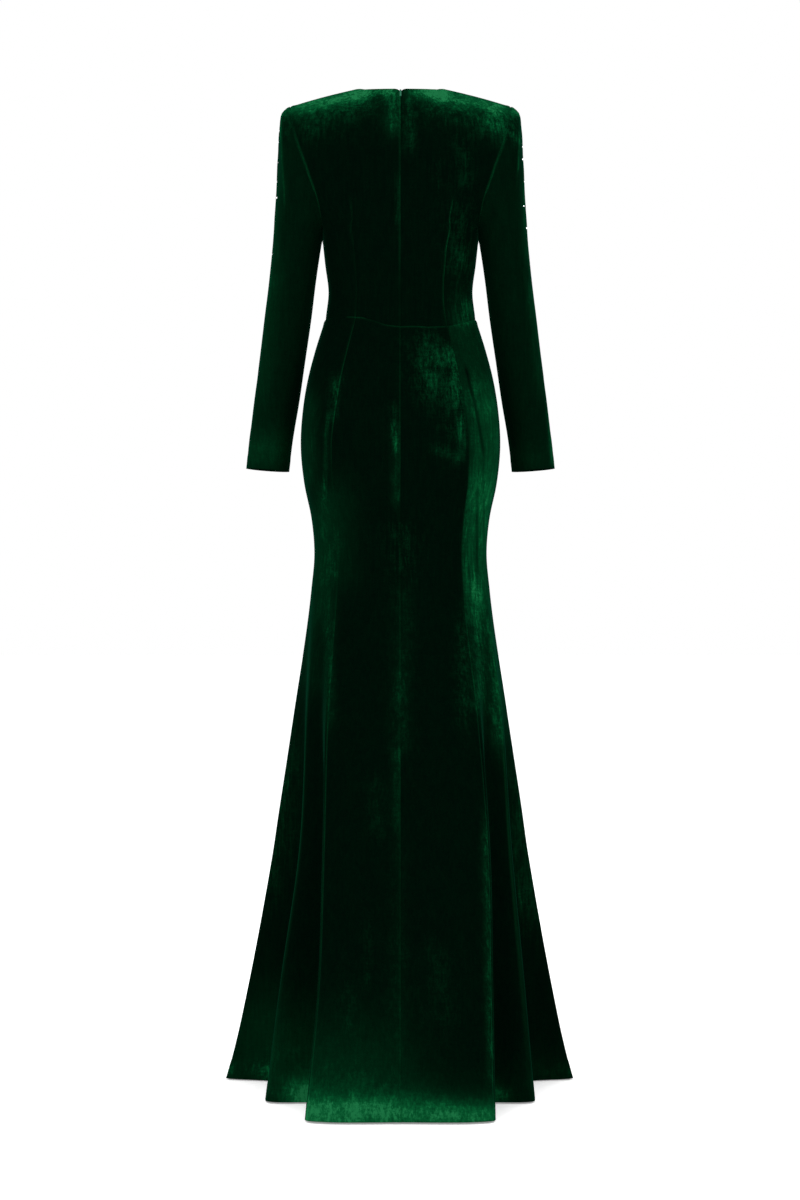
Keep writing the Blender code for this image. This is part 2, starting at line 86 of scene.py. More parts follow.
SKIRT_ROWS = (
    # centre, side, half_width, back, front, side_y, princess
    (1.268, 1.288, 0.1265, 0.080, -0.098, -0.008, 0.0755),
    (1.225, 1.232, 0.1440, 0.094, -0.103, -0.006, 0.0880),
    (1.180, 1.184, 0.1560, 0.107, -0.107, -0.003, 0.0985),
    (1.130, 1.131, 0.1643, 0.119, -0.110, -0.001, 0.1070),
    (1.0755, 1.0755, 0.1675, 0.125, -0.111, 0.000, 0.1135),
    (1.010, 1.010, 0.1615, 0.121, -0.109, 0.000, 0.1120),
    (0.950, 0.950, 0.1492, 0.109, -0.106, 0.000, 0.1050),
    (0.890, 0.890, 0.1444, 0.101, -0.106, 0.000, 0.1020),
    (0.830, 0.830, 0.1495, 0.104, -0.109, 0.000, 0.1050),
)
BACK_FOLDS = (
    {
        "height": 0.62,
        "left": (0.080, 0.1180, 0.130, 0.1540, 0.1590, 0.1795),
        "right": (0.085, 0.1265, 0.138, 0.1670, 0.1685, 0.1795),
        "depth": (0.162, 0.156, 0.138, 0.104, 0.080, 0.045, 0.000),
    },
    {
        "height": 0.40,
        "left": (0.090, 0.1225, 0.121, 0.1640, 0.1600, 0.2145),
        "right": (0.104, 0.1415, 0.137, 0.1810, 0.1720, 0.2145),
        "depth": (0.226, 0.223, 0.207, 0.140, 0.118, 0.047, 0.000),
    },
    {
        "height": 0.20,
        "left": (0.098, 0.1280, 0.122, 0.1910, 0.1740, 0.2510),
        "right": (0.110, 0.1435, 0.136, 0.1980, 0.1810, 0.2500),
        "depth": (0.286, 0.285, 0.270, 0.172, 0.154, 0.044, 0.000),
    },
    {
        "height": 0.00,
        "left": (0.116, 0.1455, 0.132, 0.2146, 0.1920, 0.2930),
        "right": (0.115, 0.1445, 0.131, 0.2135, 0.1900, 0.2900),
        "depth": (0.345, 0.344, 0.330, 0.203, 0.188, 0.036, 0.000),
    },
)
FRONT_FOLDS = (
    {
        "height": 0.62,
        "left": (0.078, 0.1130, 0.124, 0.1510, 0.1580),
        "right": (0.080, 0.1160, 0.126, 0.1550, 0.1600),
        "depth": (-0.133, -0.130, -0.113, -0.086, -0.064, -0.036),
    },
    {
        "height": 0.40,
        "left": (0.090, 0.1260, 0.126, 0.1690, 0.1660),
        "right": (0.094, 0.1310, 0.130, 0.1740, 0.1700),
        "depth": (-0.162, -0.160, -0.145, -0.100, -0.084, -0.038),
    },
    {
        "height": 0.20,
        "left": (0.100, 0.1360, 0.129, 0.1960, 0.1810),
        "right": (0.101, 0.1390, 0.133, 0.1980, 0.1830),
        "depth": (-0.189, -0.188, -0.173, -0.110, -0.099, -0.038),
    },
    {
        "height": 0.00,
        "left": (0.109, 0.1440, 0.134, 0.2220, 0.1980),
        "right": (0.107, 0.1420, 0.133, 0.2180, 0.1960),
        "depth": (-0.215, -0.215, -0.198, -0.120, -0.112, -0.038),
    },
)

# The waist seam sits askew across the back: how far it rises above its even line at each X.
WAIST_RISE = (
    (-0.130, 0.0),
    (-0.105, -0.007),
    (-0.078, -0.011),
    (-0.045, -0.008),
    (-0.020, -0.002),
    (0.000, 0.0),
    (0.025, 0.0),
    (0.045, 0.005),
    (0.065, 0.008),
    (0.090, 0.006),
    (0.120, 0.0),
)
WAIST_REACH = 0.05

SEAM_DEPTH = 0.0011
SEAM_WIDTH = 0.0016
SEAM_GAP = 0.0001
# The swell of the allowances beside a seam: its height, place and width against the seam's own dip.
SWELL_HEIGHT = 0.5
SWELL_PLACE = 3.6
SWELL_WIDTH = 2
HEM_TURN = 0.028
HEM_BULK = 0.0006
TURN_FADE = 0.003
HEM_KICK = 0.006
HEM_KICK_HEIGHT = 0.065
HEM_KICK_FACING = (0.3, 0.9)

# Painted highlights: along a seam or a fold's edge, where the cloth rolls over, a fine line of the colour is
# lightened as if its pile caught the light. How far it is lightened there, at rising heights.
SHINE_PLACE = 0.0011
SHINE_WIDTH = 0.0010
PLAIN_SHINE = ((0.0, 0.06), (1.7, 0.08))
CENTRE_BACK_SHINE = (
    (0.00, 0.03), (0.10, 0.10), (0.20, 0.18), (0.30, 0.12), (0.42, 0.18), (0.52, 0.20), (0.60, 0.06),
    (0.70, 0.18), (0.80, 0.14), (0.86, 0.03), (0.97, 0.04), (1.05, 0.20), (1.18, 0.20), (1.26, 0.12),
    (1.33, 0.03), (1.38, 0.20), (1.44, 0.26), (1.52, 0.20), (1.60, 0.22), (1.67, 0.34),
)
LEFT_BACK_SHINE = (
    (0.00, 0.18), (0.15, 0.22), (0.30, 0.30), (0.50, 0.32), (0.66, 0.22), (0.80, 0.16), (0.90, 0.04),
    (1.02, 0.08), (1.08, 0.26), (1.20, 0.32), (1.27, 0.22), (1.30, 0.04), (1.40, 0.05), (1.46, 0.16), (1.50, 0.10),
)
RIGHT_BACK_SHINE = (
    (0.00, 0.38), (0.15, 0.44), (0.40, 0.44), (0.58, 0.30), (0.72, 0.36), (0.86, 0.22), (0.98, 0.14),
    (1.10, 0.06), (1.26, 0.06), (1.32, 0.32), (1.40, 0.42), (1.48, 0.38), (1.53, 0.04),
)
FLUTE_SHINE_SPREAD = 2.4
WAIST_SHINE_SPREAD = 1.5
FLUTE_SHINE = ((0.00, 0.14), (0.20, 0.26), (0.45, 0.28), (0.66, 0.14), (0.76, 0.0))
# The waist's line, at rising X.
WAIST_SHINE = (
    (-0.130, 0.05), (-0.079, 0.06), (-0.074, 0.22), (-0.020, 0.28), (0.020, 0.24), (0.034, 0.10),
    (0.055, 0.08), (0.062, 0.30), (0.086, 0.24), (0.092, 0.00), (0.130, 0.00),
)

# Soft creases and swells: the face they lie on, two ends as X and height (Y and height on a side), their
# half width, and how far they stand out of the cloth.
BODY_CREASES = (
    # face, place, height, to_place, to_height, width, out
    # The bodice, behind and in front.
    ("back", -0.1085, 1.51, -0.1035, 1.44, 0.006, -0.0012),
    ("back", 0.113, 1.5, 0.103, 1.42, 0.009, -0.0009),
    ("back", 0.02, 1.33, 0.045, 1.3, 0.006, -0.0008),
    ("back", -0.015, 1.34, -0.04, 1.31, 0.007, -0.0008),
    ("back", 0.03, 1.61, 0.026, 1.48, 0.018, 0.0012),
    ("back", -0.034, 1.62, -0.03, 1.47, 0.016, 0.0014),
    ("back", -0.098, 1.35, -0.07, 1.3, 0.008, -0.001),
    ("front", 0.118, 1.47, 0.095, 1.44, 0.008, -0.0014),
    ("front", -0.12, 1.48, -0.094, 1.445, 0.008, -0.0014),
    ("front", 0.02, 1.33, 0.05, 1.3, 0.008, -0.001),
    ("front", -0.018, 1.345, -0.046, 1.31, 0.008, -0.0011),
    ("front", 0.0, 1.48, 0.004, 1.39, 0.018, -0.0016),
    ("front", 0.048, 1.59, 0.07, 1.5, 0.014, 0.001),
    ("front", -0.05, 1.585, -0.068, 1.495, 0.015, 0.0011),
    # Behind, over the hips.
    ("back", -0.108, 1.198, -0.12, 1.15, 0.0035, -0.0013),
    ("back", -0.12, 1.15, -0.14, 1.05, 0.0035, -0.0014),
    ("back", 0.127, 1.17, 0.131, 1.04, 0.0045, -0.0012),
    ("back", 0.145, 1.16, 0.152, 1.06, 0.006, 0.0009),
    ("back", 0.008, 1.105, 0.006, 1.035, 0.004, 0.0014),
    ("back", -0.01, 1.03, -0.095, 1.02, 0.009, -0.0011),
    ("back", -0.045, 1.24, -0.065, 1.08, 0.014, -0.0012),
    ("back", 0.04, 1.235, 0.05, 1.11, 0.014, -0.001),
    ("back", 0.056, 1.06, 0.05, 0.96, 0.018, 0.001),
    # Behind, down to the knees.
    ("back", -0.106, 1.03, -0.103, 0.86, 0.004, 0.0014),
    ("back", 0.13, 1.02, 0.126, 0.94, 0.0045, 0.0012),
    ("back", 0.07, 0.99, 0.06, 0.82, 0.02, 0.0014),
    ("back", -0.07, 0.96, -0.078, 0.76, 0.022, 0.0016),
    ("back", 0.008, 0.83, 0.002, 0.56, 0.011, 0.0014),
    ("back", -0.02, 0.668, 0.01, 0.66, 0.003, -0.0008),
    # Behind, in the sweep.
    ("back", 0.035, 0.7, 0.042, 0.3, 0.028, -0.003),
    ("back", -0.048, 0.74, -0.055, 0.34, 0.026, -0.0028),
    ("back", -0.09, 0.62, -0.1, 0.2, 0.018, 0.0024),
    ("back", 0.078, 0.56, 0.084, 0.14, 0.02, 0.0026),
    ("back", 0.01, 0.46, 0.006, 0.07, 0.016, 0.0022),
    ("back", -0.026, 0.33, -0.03, 0.05, 0.015, -0.002),
    ("back", -0.065, 0.245, -0.08, 0.16, 0.008, -0.0012),
    ("back", -0.048, 0.235, -0.06, 0.165, 0.006, 0.0009),
    ("back", 0.064, 0.23, 0.056, 0.06, 0.017, -0.0018),
    ("back", -0.12, 0.1, -0.136, 0.045, 0.006, -0.0016),
    ("back", 0.185, 0.18, 0.198, 0.02, 0.014, 0.0018),
    ("back", -0.187, 0.2, -0.196, 0.02, 0.014, 0.0018),
    ("back", 0.235, 0.18, 0.26, 0.01, 0.014, -0.002),
    ("back", -0.23, 0.2, -0.25, 0.01, 0.015, -0.0018),
    # In front.
    ("front", 0.03, 1.22, 0.035, 1.06, 0.016, -0.001),
    ("front", -0.052, 1.2, -0.044, 1.03, 0.014, -0.0012),
    ("front", 0.122, 1.16, 0.128, 1.05, 0.007, -0.001),
    ("front", -0.118, 1.15, -0.126, 1.04, 0.007, -0.0011),
    ("front", 0.06, 0.96, 0.052, 0.76, 0.022, 0.0016),
    ("front", -0.024, 0.9, -0.03, 0.62, 0.024, -0.002),
    ("front", 0.042, 0.62, 0.05, 0.22, 0.026, -0.0028),
    ("front", -0.072, 0.58, -0.082, 0.16, 0.022, 0.0026),
    ("front", 0.086, 0.44, 0.092, 0.1, 0.017, 0.0022),
    ("front", -0.016, 0.42, -0.01, 0.06, 0.019, 0.0022),
    ("front", 0.016, 0.24, 0.022, 0.04, 0.014, -0.0016),
    ("front", 0.21, 0.2, 0.225, 0.01, 0.015, 0.0018),
    ("front", -0.208, 0.2, -0.222, 0.01, 0.015, 0.0018),
    ("left", 0.01, 0.42, 0.004, 0.04, 0.017, -0.002),
    ("right", 0.008, 0.44, 0.002, 0.04, 0.017, -0.002),
    ("left", -0.05, 1.2, -0.042, 1.06, 0.012, -0.0009),
    ("right", -0.046, 1.21, -0.04, 1.08, 0.012, -0.0009),
)

# The lie of the crushed pile, with painted sheen over it. Crushed is how much of a stroke has turned bright in
# mottled patches of crushed pile, and lifted is painted sheen: how far the colour of the whole of it is lightened
# as if it caught the light.
BODY_PILE_AND_SHEEN = (
    # face, place, height, to_place, to_height, width, crushed, lifted
    # Bodice back: painted highlights over the shoulders, then beside the zip, and right of the right dart.
    ("back", 0.06, 1.666, 0.19, 1.64, 0.02, 0.2, 0.62),
    ("back", -0.04, 1.666, -0.19, 1.64, 0.02, 0.2, 0.56),
    ("back", -0.04, 1.64, -0.17, 1.6, 0.028, 0.2, 0.06),
    ("back", 0.04, 1.645, 0.16, 1.605, 0.03, 0.21, 0.06),
    ("back", 0.08, 1.672, 0.012, 1.664, 0.014, 0.18, 0.34),
    ("back", -0.014, 1.664, -0.08, 1.668, 0.014, 0.16, 0.34),
    ("back", -0.014, 1.65, -0.016, 1.56, 0.011, 0.22, 0.05),
    ("back", -0.15, 1.625, -0.185, 1.585, 0.022, 0.16, 0.08),
    ("back", -0.1, 1.58, -0.108, 1.5, 0.015, 0.18, 0.0),
    ("back", -0.06, 1.54, -0.072, 1.5, 0.016, 0.12, 0.0),
    ("back", -0.1, 1.47, -0.098, 1.38, 0.028, 0.15, 0.0),
    ("back", -0.104, 1.39, -0.104, 1.3, 0.026, 0.13, 0.03),
    ("back", -0.12, 1.31, -0.1, 1.28, 0.02, 0.2, 0.16),
    # Hips: the right of the centre back, then the right side strip down past the knee.
    ("back", -0.04, 1.25, -0.045, 1.15, 0.028, 0.2, 0.01),
    ("back", -0.108, 0.98, -0.106, 0.76, 0.008, 0.1, 0.02),
    ("back", -0.1, 0.78, -0.106, 0.6, 0.014, 0.18, 0.03),
    ("back", -0.126, 0.86, -0.132, 0.62, 0.011, 0.24, 0.2),
    ("back", -0.152, 0.8, -0.164, 0.56, 0.014, 0.24, 0.22),
    # Centre back: the bright streaks on both sides of the seam.
    ("back", -0.004, 0.93, -0.008, 0.86, 0.03, 0.15, 0.01),
    ("back", -0.004, 0.83, -0.002, 0.66, 0.018, 0.1, 0.05),
    ("back", 0.0, 0.68, 0.0, 0.56, 0.015, 0.13, 0.06),
    ("back", 0.042, 0.52, 0.036, 0.43, 0.014, 0.1, 0.03),
    ("back", 0.003, 0.45, 0.004, 0.06, 0.013, 0.05, 0.03),
    ("back", 0.002, 0.26, 0.006, 0.13, 0.018, 0.03, 0.01),
    # Left hip and thigh.
    ("back", 0.104, 1.185, 0.114, 1.11, 0.011, 0.24, 0.03),
    ("back", 0.121, 1.12, 0.126, 0.97, 0.004, 0.18, 0.09),
    ("back", 0.15, 1.16, 0.152, 1.0, 0.014, 0.08, 0.14),
    ("back", 0.128, 0.99, 0.13, 0.78, 0.019, 0.08, 0.18),
    ("back", 0.1, 1.0, 0.1, 0.84, 0.03, 0.02, 0.09),
    ("back", 0.106, 0.92, 0.112, 0.84, 0.008, 0.16, 0.04),
    ("back", 0.118, 0.8, 0.116, 0.6, 0.009, 0.16, 0.12),
    ("back", 0.15, 0.8, 0.15, 0.66, 0.018, 0.06, 0.08),
    # The sweep: streaks, the patch on the right, painted highlights on the fold edges, and a painted highlight
    # along the foot of the cloth.
    ("back", -0.052, 0.26, -0.066, 0.15, 0.024, 0.1, 0.02),
    ("back", 0.052, 0.3, 0.052, 0.2, 0.006, 0.14, 0.02),
    ("back", 0.086, 0.2, 0.078, 0.14, 0.016, 0.09, 0.02),
    ("back", -0.136, 0.48, -0.142, 0.03, 0.007, 0.22, 0.14),
    ("back", 0.25, 0.06, 0.03, 0.05, 0.09, 0.03, 0.22),
    ("back", 0.14, 0.03, 0.07, 0.03, 0.05, 0.05, 0.06),
    ("back", 0.02, 0.04, -0.26, 0.01, 0.045, 0.02, 0.06),
    ("back", 0.17, 0.012, 0.052, 0.012, 0.027, 0.12, 0.6),
    ("back", 0.034, 0.012, -0.054, 0.012, 0.027, 0.14, 0.64),
    ("back", -0.07, 0.01, -0.14, 0.006, 0.024, 0.14, 0.66),
    ("back", 0.185, 0.012, 0.15, 0.01, 0.02, 0.1, 0.14),
    ("back", -0.15, 0.016, -0.176, 0.01, 0.011, 0.2, 0.16),
    ("back", 0.24, 0.018, 0.215, 0.02, 0.012, 0.14, 0.06),
    # The front and the sides in the same way, with painted highlights over the shoulders
    # and along the foot of the cloth.
    ("front", 0.06, 1.664, 0.19, 1.638, 0.016, 0.2, 0.34),
    ("front", -0.06, 1.664, -0.19, 1.638, 0.016, 0.2, 0.34),
    ("front", 0.07, 1.61, 0.12, 1.54, 0.026, 0.18, 0.03),
    ("front", -0.07, 1.6, -0.112, 1.52, 0.024, 0.2, 0.03),
    ("front", -0.066, 1.45, -0.09, 1.39, 0.026, 0.16, 0.06),
    ("front", 0.07, 1.446, 0.09, 1.39, 0.026, 0.14, 0.06),
    ("front", 0.09, 1.25, 0.104, 1.06, 0.018, 0.22, 0.03),
    ("front", -0.086, 1.25, -0.102, 1.04, 0.02, 0.24, 0.04),
    ("front", 0.02, 1.14, 0.014, 0.92, 0.026, 0.12, 0.01),
    ("front", -0.106, 1.0, -0.1, 0.7, 0.011, 0.2, 0.12),
    ("front", 0.102, 0.98, 0.098, 0.7, 0.011, 0.18, 0.1),
    ("front", -0.01, 0.88, -0.008, 0.56, 0.024, 0.14, 0.02),
    ("front", 0.06, 0.64, 0.08, 0.38, 0.024, 0.13, 0.02),
    ("front", -0.05, 0.46, -0.07, 0.18, 0.026, 0.14, 0.02),
    ("front", 0.01, 0.34, 0.012, 0.08, 0.018, 0.13, 0.03),
    ("front", -0.13, 0.46, -0.14, 0.04, 0.007, 0.2, 0.05),
    ("front", 0.13, 0.44, 0.138, 0.04, 0.007, 0.2, 0.05),
    ("front", 0.26, 0.05, -0.26, 0.036, 0.056, 0.04, 0.14),
    ("front", 0.15, 0.012, 0.01, 0.012, 0.02, 0.26, 0.36),
    ("front", 0.04, 0.008, -0.14, 0.006, 0.017, 0.3, 0.4),
    ("left", -0.02, 1.1, -0.03, 0.94, 0.024, 0.2, 0.06),
    ("right", -0.02, 1.12, -0.03, 0.9, 0.024, 0.24, 0.08),
    ("left", 0.01, 0.6, -0.01, 0.3, 0.03, 0.2, 0.04),
    ("right", 0.0, 0.56, 0.01, 0.26, 0.03, 0.22, 0.04),
    ("left", -0.06, 0.012, 0.06, 0.012, 0.016, 0.2, 0.1),
    ("right", -0.06, 0.012, 0.06, 0.012, 0.016, 0.16, 0.06),
)
# The same for single panels of the skirt, where a change in the pile or its painted sheen stops sharply at a seam.
# The narrow strokes below nought darken the colour in fine lines; the two over the right hip follow its creases
# and are painted shade.
PANEL_PILE_AND_SHEEN = {
    "skirt_side_back_right": (
        ("back", -0.11, 1.285, -0.14, 1.15, 0.05, 0.08, 0.19),
        ("back", -0.136, 1.15, -0.142, 1.0, 0.04, 0.08, 0.28),
        ("back", -0.17, 1.17, -0.168, 0.9, 0.03, 0.04, 0.2),
        ("back", -0.126, 1.0, -0.124, 0.8, 0.04, 0.1, 0.36),
        ("back", -0.118, 1.19, -0.124, 1.06, 0.007, 0.1, 0.02),
        ("back", -0.127, 1.01, -0.127, 0.8, 0.0028, -0.1, -0.16),
        ("back", -0.136, 1.06, -0.14, 0.88, 0.0022, -0.08, -0.14),
        ("back", -0.13, 1.02, -0.15, 0.88, 0.016, 0.06, 0.1),
        ("back", -0.108, 1.2, -0.119, 1.15, 0.0026, -0.2, -0.22),
        ("back", -0.119, 1.16, -0.139, 1.05, 0.0026, -0.2, -0.22),
    ),
    "skirt_back_right": (
        ("back", -0.084, 1.235, -0.098, 1.16, 0.013, 0.24, 0.05),
        ("back", -0.092, 1.16, -0.104, 1.06, 0.012, 0.18, 0.05),
        ("back", -0.058, 1.235, -0.09, 1.08, 0.03, 0.16, 0.01),
        ("back", -0.056, 1.06, -0.102, 1.044, 0.012, 0.2, 0.04),
    ),
    "skirt_back_left": (
        ("back", 0.01, 1.14, 0.009, 1.05, 0.008, 0.18, 0.03),
        ("back", 0.01, 1.108, 0.006, 1.048, 0.0055, 0.2, 0.12),
        ("back", 0.008, 1.045, 0.007, 0.97, 0.007, 0.16, 0.12),
        ("back", 0.006, 0.57, 0.006, 0.44, 0.009, 0.14, 0.09),
    ),
    "skirt_side_front_right": (
        ("front", -0.112, 1.285, -0.136, 1.06, 0.04, 0.1, 0.16),
        ("front", -0.124, 1.03, -0.122, 0.78, 0.03, 0.12, 0.18),
    ),
    "skirt_side_front_left": (
        ("front", 0.112, 1.285, 0.136, 1.06, 0.04, 0.08, 0.12),
        ("front", 0.124, 1.01, 0.124, 0.8, 0.03, 0.12, 0.2),
    ),
}
FACES = {
    # direction, axis that its places are measured along
    "back": ((0, 1, 0), 0),
    "front": ((0, -1, 0), 0),
    "left": ((1, 0, 0), 1),
    "right": ((-1, 0, 0), 1),
}


def spline(knots, values, places):
    """Reads, at the places, the smooth curve through values at rising knots.

    Places are one for each row, or a table of one for each row and column.
    """
    knots = np.asarray(knots, float)
    values = np.asarray(values, float)
    places = np.asarray(places, float)
    wide = (slice(None),) + (None,) * (values.ndim - 1)
    step = np.diff(knots)
    slope = np.diff(values, axis=0) / step[wide]
    tangent = np.empty_like(values)
    tangent[0] = slope[0]
    tangent[-1] = slope[-1]
    before, after = step[:-1][wide], step[1:][wide]
    tangent[1:-1] = (after * slope[:-1] + before * slope[1:]) / (after + before)
    at = np.clip(np.searchsorted(knots, places, side="right") - 1, 0, len(step) - 1)
    reads = [(table, cell) for table in (values, tangent) for cell in (at, at + 1)]
    if places.ndim == 1:
        low, high, low_tangent, high_tangent = [table[cell] for table, cell in reads]
    else:
        wide = (..., None)
        low, high, low_tangent, high_tangent = [np.take_along_axis(table, cell[wide], 0) for table, cell in reads]
    t = ((places - knots[at]) / step[at])[wide]
    length = step[at][wide]
    start = (2 * t**3 - 3 * t**2 + 1) * low + (t**3 - 2 * t**2 + t) * length * low_tangent
    end = (3 * t**2 - 2 * t**3) * high + (t**3 - t**2) * length * high_tangent
    return start + end


# Extra columns beside a seam, as parts of the gap to the next even one.
SEAM_COLUMNS = (0.1, 0.22, 0.45)


def even_shares(count, seam_at_start, seam_at_end):
    """Even shares from 0 up to 1, which is left out, with a few more close to a seam."""
    shares = [step / count for step in range(count)]
    close = [part / count for part in SEAM_COLUMNS]
    if seam_at_start:
        shares += close
    if seam_at_end:
        shares += [1 - share for share in close]
    return sorted(shares)


def columns_of(line_places):
    """Places of every column, from the places of the 13 lines."""
    places = []
    for index, (_, count, seam) in enumerate(LINES[:-1]):
        first, last = line_places[index], line_places[index + 1]
        places += [first + share * (last - first) for share in even_shares(count, seam, LINES[index + 1][2])]
    return np.array(places + [line_places[-1]])


def column_at(line):
    """The number of the column on a line."""
    names = [name for name, _, _ in LINES]
    return int(np.argmin(np.abs(columns_of(range(len(LINES))) - names.index(line))))


def line_angles(half_width, princess):
    """Angles of the 7 lines from a centre to the side on a rounded row, as shares of a quarter turn."""
    turn = math.asin((princess / half_width) ** (1 / FULLNESS)) / (math.pi / 2)
    beyond = [turn + share * (1 - turn) for share in (VALLEY_SHARE, FLUTE_SHARE, SIDE_VALLEY_SHARE)]
    return [0, FLAT_SHARE * turn, turn] + beyond + [1]


def arc_row(shares, centre, edge, arc_end=90):
    """A quarter of a rounded row, from its centre (y, height) to its edge (x, y, height)."""
    end = math.radians(arc_end)
    across = (np.sin(shares * end) / math.sin(end)) ** FULLNESS
    rest = max(math.cos(end), 0) ** FULLNESS
    depth = (np.clip(np.cos(shares * end), 0, 1) ** FULLNESS - rest) / (1 - rest)
    rise = np.sin(shares * math.pi / 2)
    y = edge[1] + (centre[0] - edge[1]) * depth
    return np.column_stack([edge[0] * across, y, centre[1] + (edge[2] - centre[1]) * rise])


def rounded_half(centre, side, half_width, back, front, side_y, angles):
    """A rounded row from the centre back, round the side, to the centre front."""
    places = columns_of(angles + [2 - angle for angle in angles[-2::-1]])
    edge = (half_width, side_y, side)
    middle = column_at("side")
    back_part = arc_row(places[: middle + 1], (back, centre), edge)
    front_part = arc_row(2 - places[middle:], (front, centre), edge)
    return np.concatenate([back_part, front_part[1:]])


def folded_half(back_fold, front_fold, hand):
    """A folded row from the centre back to the centre front, on one hand."""
    points = list(zip((0,) + back_fold[hand], back_fold["depth"]))
    points += list(zip((0,) + front_fold[hand], front_fold["depth"]))[::-1]
    points = np.array([(-points[1][0], points[1][1])] + points + [(-points[-2][0], points[-2][1])])
    chords = np.sqrt(np.linalg.norm(np.diff(points, axis=0), axis=1))
    knots = np.concatenate([[0], np.cumsum(chords)])
    plan = spline(knots, points, columns_of(list(knots[1:-1])))
    return np.column_stack([plan, np.full(len(plan), back_fold["height"])])


def skirt_half(hand, heights, mirror):
    """One half of the skirt at these heights, from the centre back to the centre front, its waist askew."""
    rows = []
    knots = []
    for centre, side, half_width, back, front, side_y, princess in SKIRT_ROWS:
        angles = line_angles(half_width, princess)
        rows.append(rounded_half(centre, side, half_width, back, front, side_y, angles))
        knots.append(side)
    for back_fold, front_fold in zip(BACK_FOLDS, FRONT_FOLDS):
        rows.append(folded_half(back_fold, front_fold, hand))
        knots.append(back_fold["height"])
    waist = rows[0]
    rise = np.interp(waist[:, 0] * mirror, *zip(*WAIST_RISE)) * (waist[:, 1] > 0)
    heights = np.array(heights)[:, None]
    fade = np.exp(-(((heights[0] - heights) / WAIST_REACH) ** 2))
    return spline(-np.array(knots), rows, -(heights + rise * fade))


def unit(vectors):
    return vectors / np.maximum(np.linalg.norm(vectors, axis=-1, keepdims=True), 1e-12)


def outward(grid, closed):
    """Normals of a grid whose columns run towards the wearer's left behind, and whose rows run down."""
    across = np.gradient(grid, axis=1)
    if closed:
        across[:, 0] = grid[:, 1] - grid[:, -2]
        across[:, -1] = across[:, 0]
    return unit(np.cross(across, np.gradient(grid, axis=0)))


def smooth_step(value, low, high):
    share = np.clip((value - low) / (high - low), 0, 1)
    return share * share * (3 - 2 * share)


# A stroke is full over this share of its length on each hand of its middle, and its ends fade over these shares
# of its width and length. It fades out where the cloth turns away from its face.
STROKE_CORE = 0.35
END_WIDTH_SHARE = 0.6
END_LENGTH_SHARE = 0.12
FACING_FADE = 0.35


def stroke(across, height, start, end, width):
    """How strongly a stroke from start to end covers each place, fading to its sides and ends."""
    run = np.array(end) - start
    length = max(np.linalg.norm(run), 1e-6)
    run = run / length
    along = (across - start[0]) * run[0] + (height - start[1]) * run[1]
    aside = (across - start[0]) * run[1] - (height - start[1]) * run[0]
    past = np.maximum(np.abs(along - length / 2) - length * STROKE_CORE, 0)
    fade = width * END_WIDTH_SHARE + length * END_LENGTH_SHARE
    return np.exp(-((aside / width) ** 2) - (past / fade) ** 2)


def worked(grid, normals, table):
    """Adds up, at each point of a grid, the last columns of a table of strokes."""
    total = np.zeros(grid.shape[:2] + (1,))
    for face, place, height, to_place, to_height, width, *amounts in table:
        direction, axis = FACES[face]
        facing = smooth_step(normals @ np.array(direction, float), 0.0, FACING_FADE)
        cover = stroke(grid[..., axis], grid[..., 2], (place, height), (to_place, to_height), width)
        total = total + (facing * cover)[..., None] * np.array(amounts)
    return total


def seam_line(distance):
    """The dip of the cloth into a seam, with the soft swell of its allowances on both sides."""
    from_swell = (np.abs(distance) - SWELL_PLACE * SEAM_WIDTH) / (SWELL_WIDTH * SEAM_WIDTH)
    swell = SWELL_HEIGHT * np.exp(-(from_swell**2))
    return SEAM_DEPTH * (swell - np.exp(-((distance / SEAM_WIDTH) ** 2)))


def shine(distance, along, table):
    """A painted highlight: the fine line of lighter colour beside a seam or along a fold's edge, from its table of
    places along it.
    """
    strength = np.interp(along, *zip(*table))
    return strength * np.exp(-(((distance - SHINE_PLACE) / SHINE_WIDTH) ** 2))


def along_rows(grid):
    """Length along each row from its first column."""
    steps = np.linalg.norm(np.diff(grid, axis=1), axis=2)
    return np.concatenate([np.zeros((len(grid), 1)), np.cumsum(steps, axis=1)], axis=1)


def down_columns(grid):
    """Length down each column from its first row."""
    return along_rows(grid.transpose(1, 0, 2)).T


# Colours of the velvet from its dark pile, through its crushed patches, to painted sheen where the colour is
# lightened as if the pile caught the light.
PILE_AND_SHEEN_COLOURS = (
    (0.00, (0.0002, 0.0022, 0.0011)),
    (0.25, (0.0003, 0.0110, 0.0036)),
    (0.50, (0.0006, 0.0285, 0.0085)),
    (0.75, (0.0016, 0.0580, 0.0165)),
    (1.00, (0.0075, 0.1100, 0.0360)),
)


# The noise in the pile: its stretch along X, Y and Z, its scale, detail, roughness and distortion.
CLOUD_NOISE = ((1.0, 1.0, 0.60), 62.0, 9.0, 0.76, 0.5)
STREAK_NOISE = ((1.0, 1.0, 0.08), 230.0, 4.0, 0.70)
RIPPLE_NOISE = ((0.20, 0.20, 1.0), 300.0, 3.0, 0.70)
GRAIN_NOISE = ((1.0, 1.0, 0.6), 620.0, 3.0, 0.7)
# How much of each is in the mottling.
CLOUD_SHARE = 0.36
STREAK_SHARE = 0.34
RIPPLE_SHARE = 0.14
GRAIN_SHARE = 0.16
# How far crushing helps the mottling over the edge where the pile turns bright, the edge, how quickly crushing
# brings that on, and how bright it gets.
CRUSH_HELP = 0.26
CRUSH_EDGE = (0.49, 0.70)
CRUSH_GAIN = 3.0
CRUSH_LIGHT = 0.62
# The slope and offset by which the mottling thickens and thins the painted sheen, and shows faintly everywhere,
# and by which the grain shows everywhere.
SHEEN_MOTTLE = (2.2, -0.10)
FAINT_MOTTLE = (0.22, -0.095)
FAINT_GRAIN = (0.06, -0.03)
GRAIN_HEIGHT = 0.4


def wire(tree, source, target):
    tree.links.new(source, target)


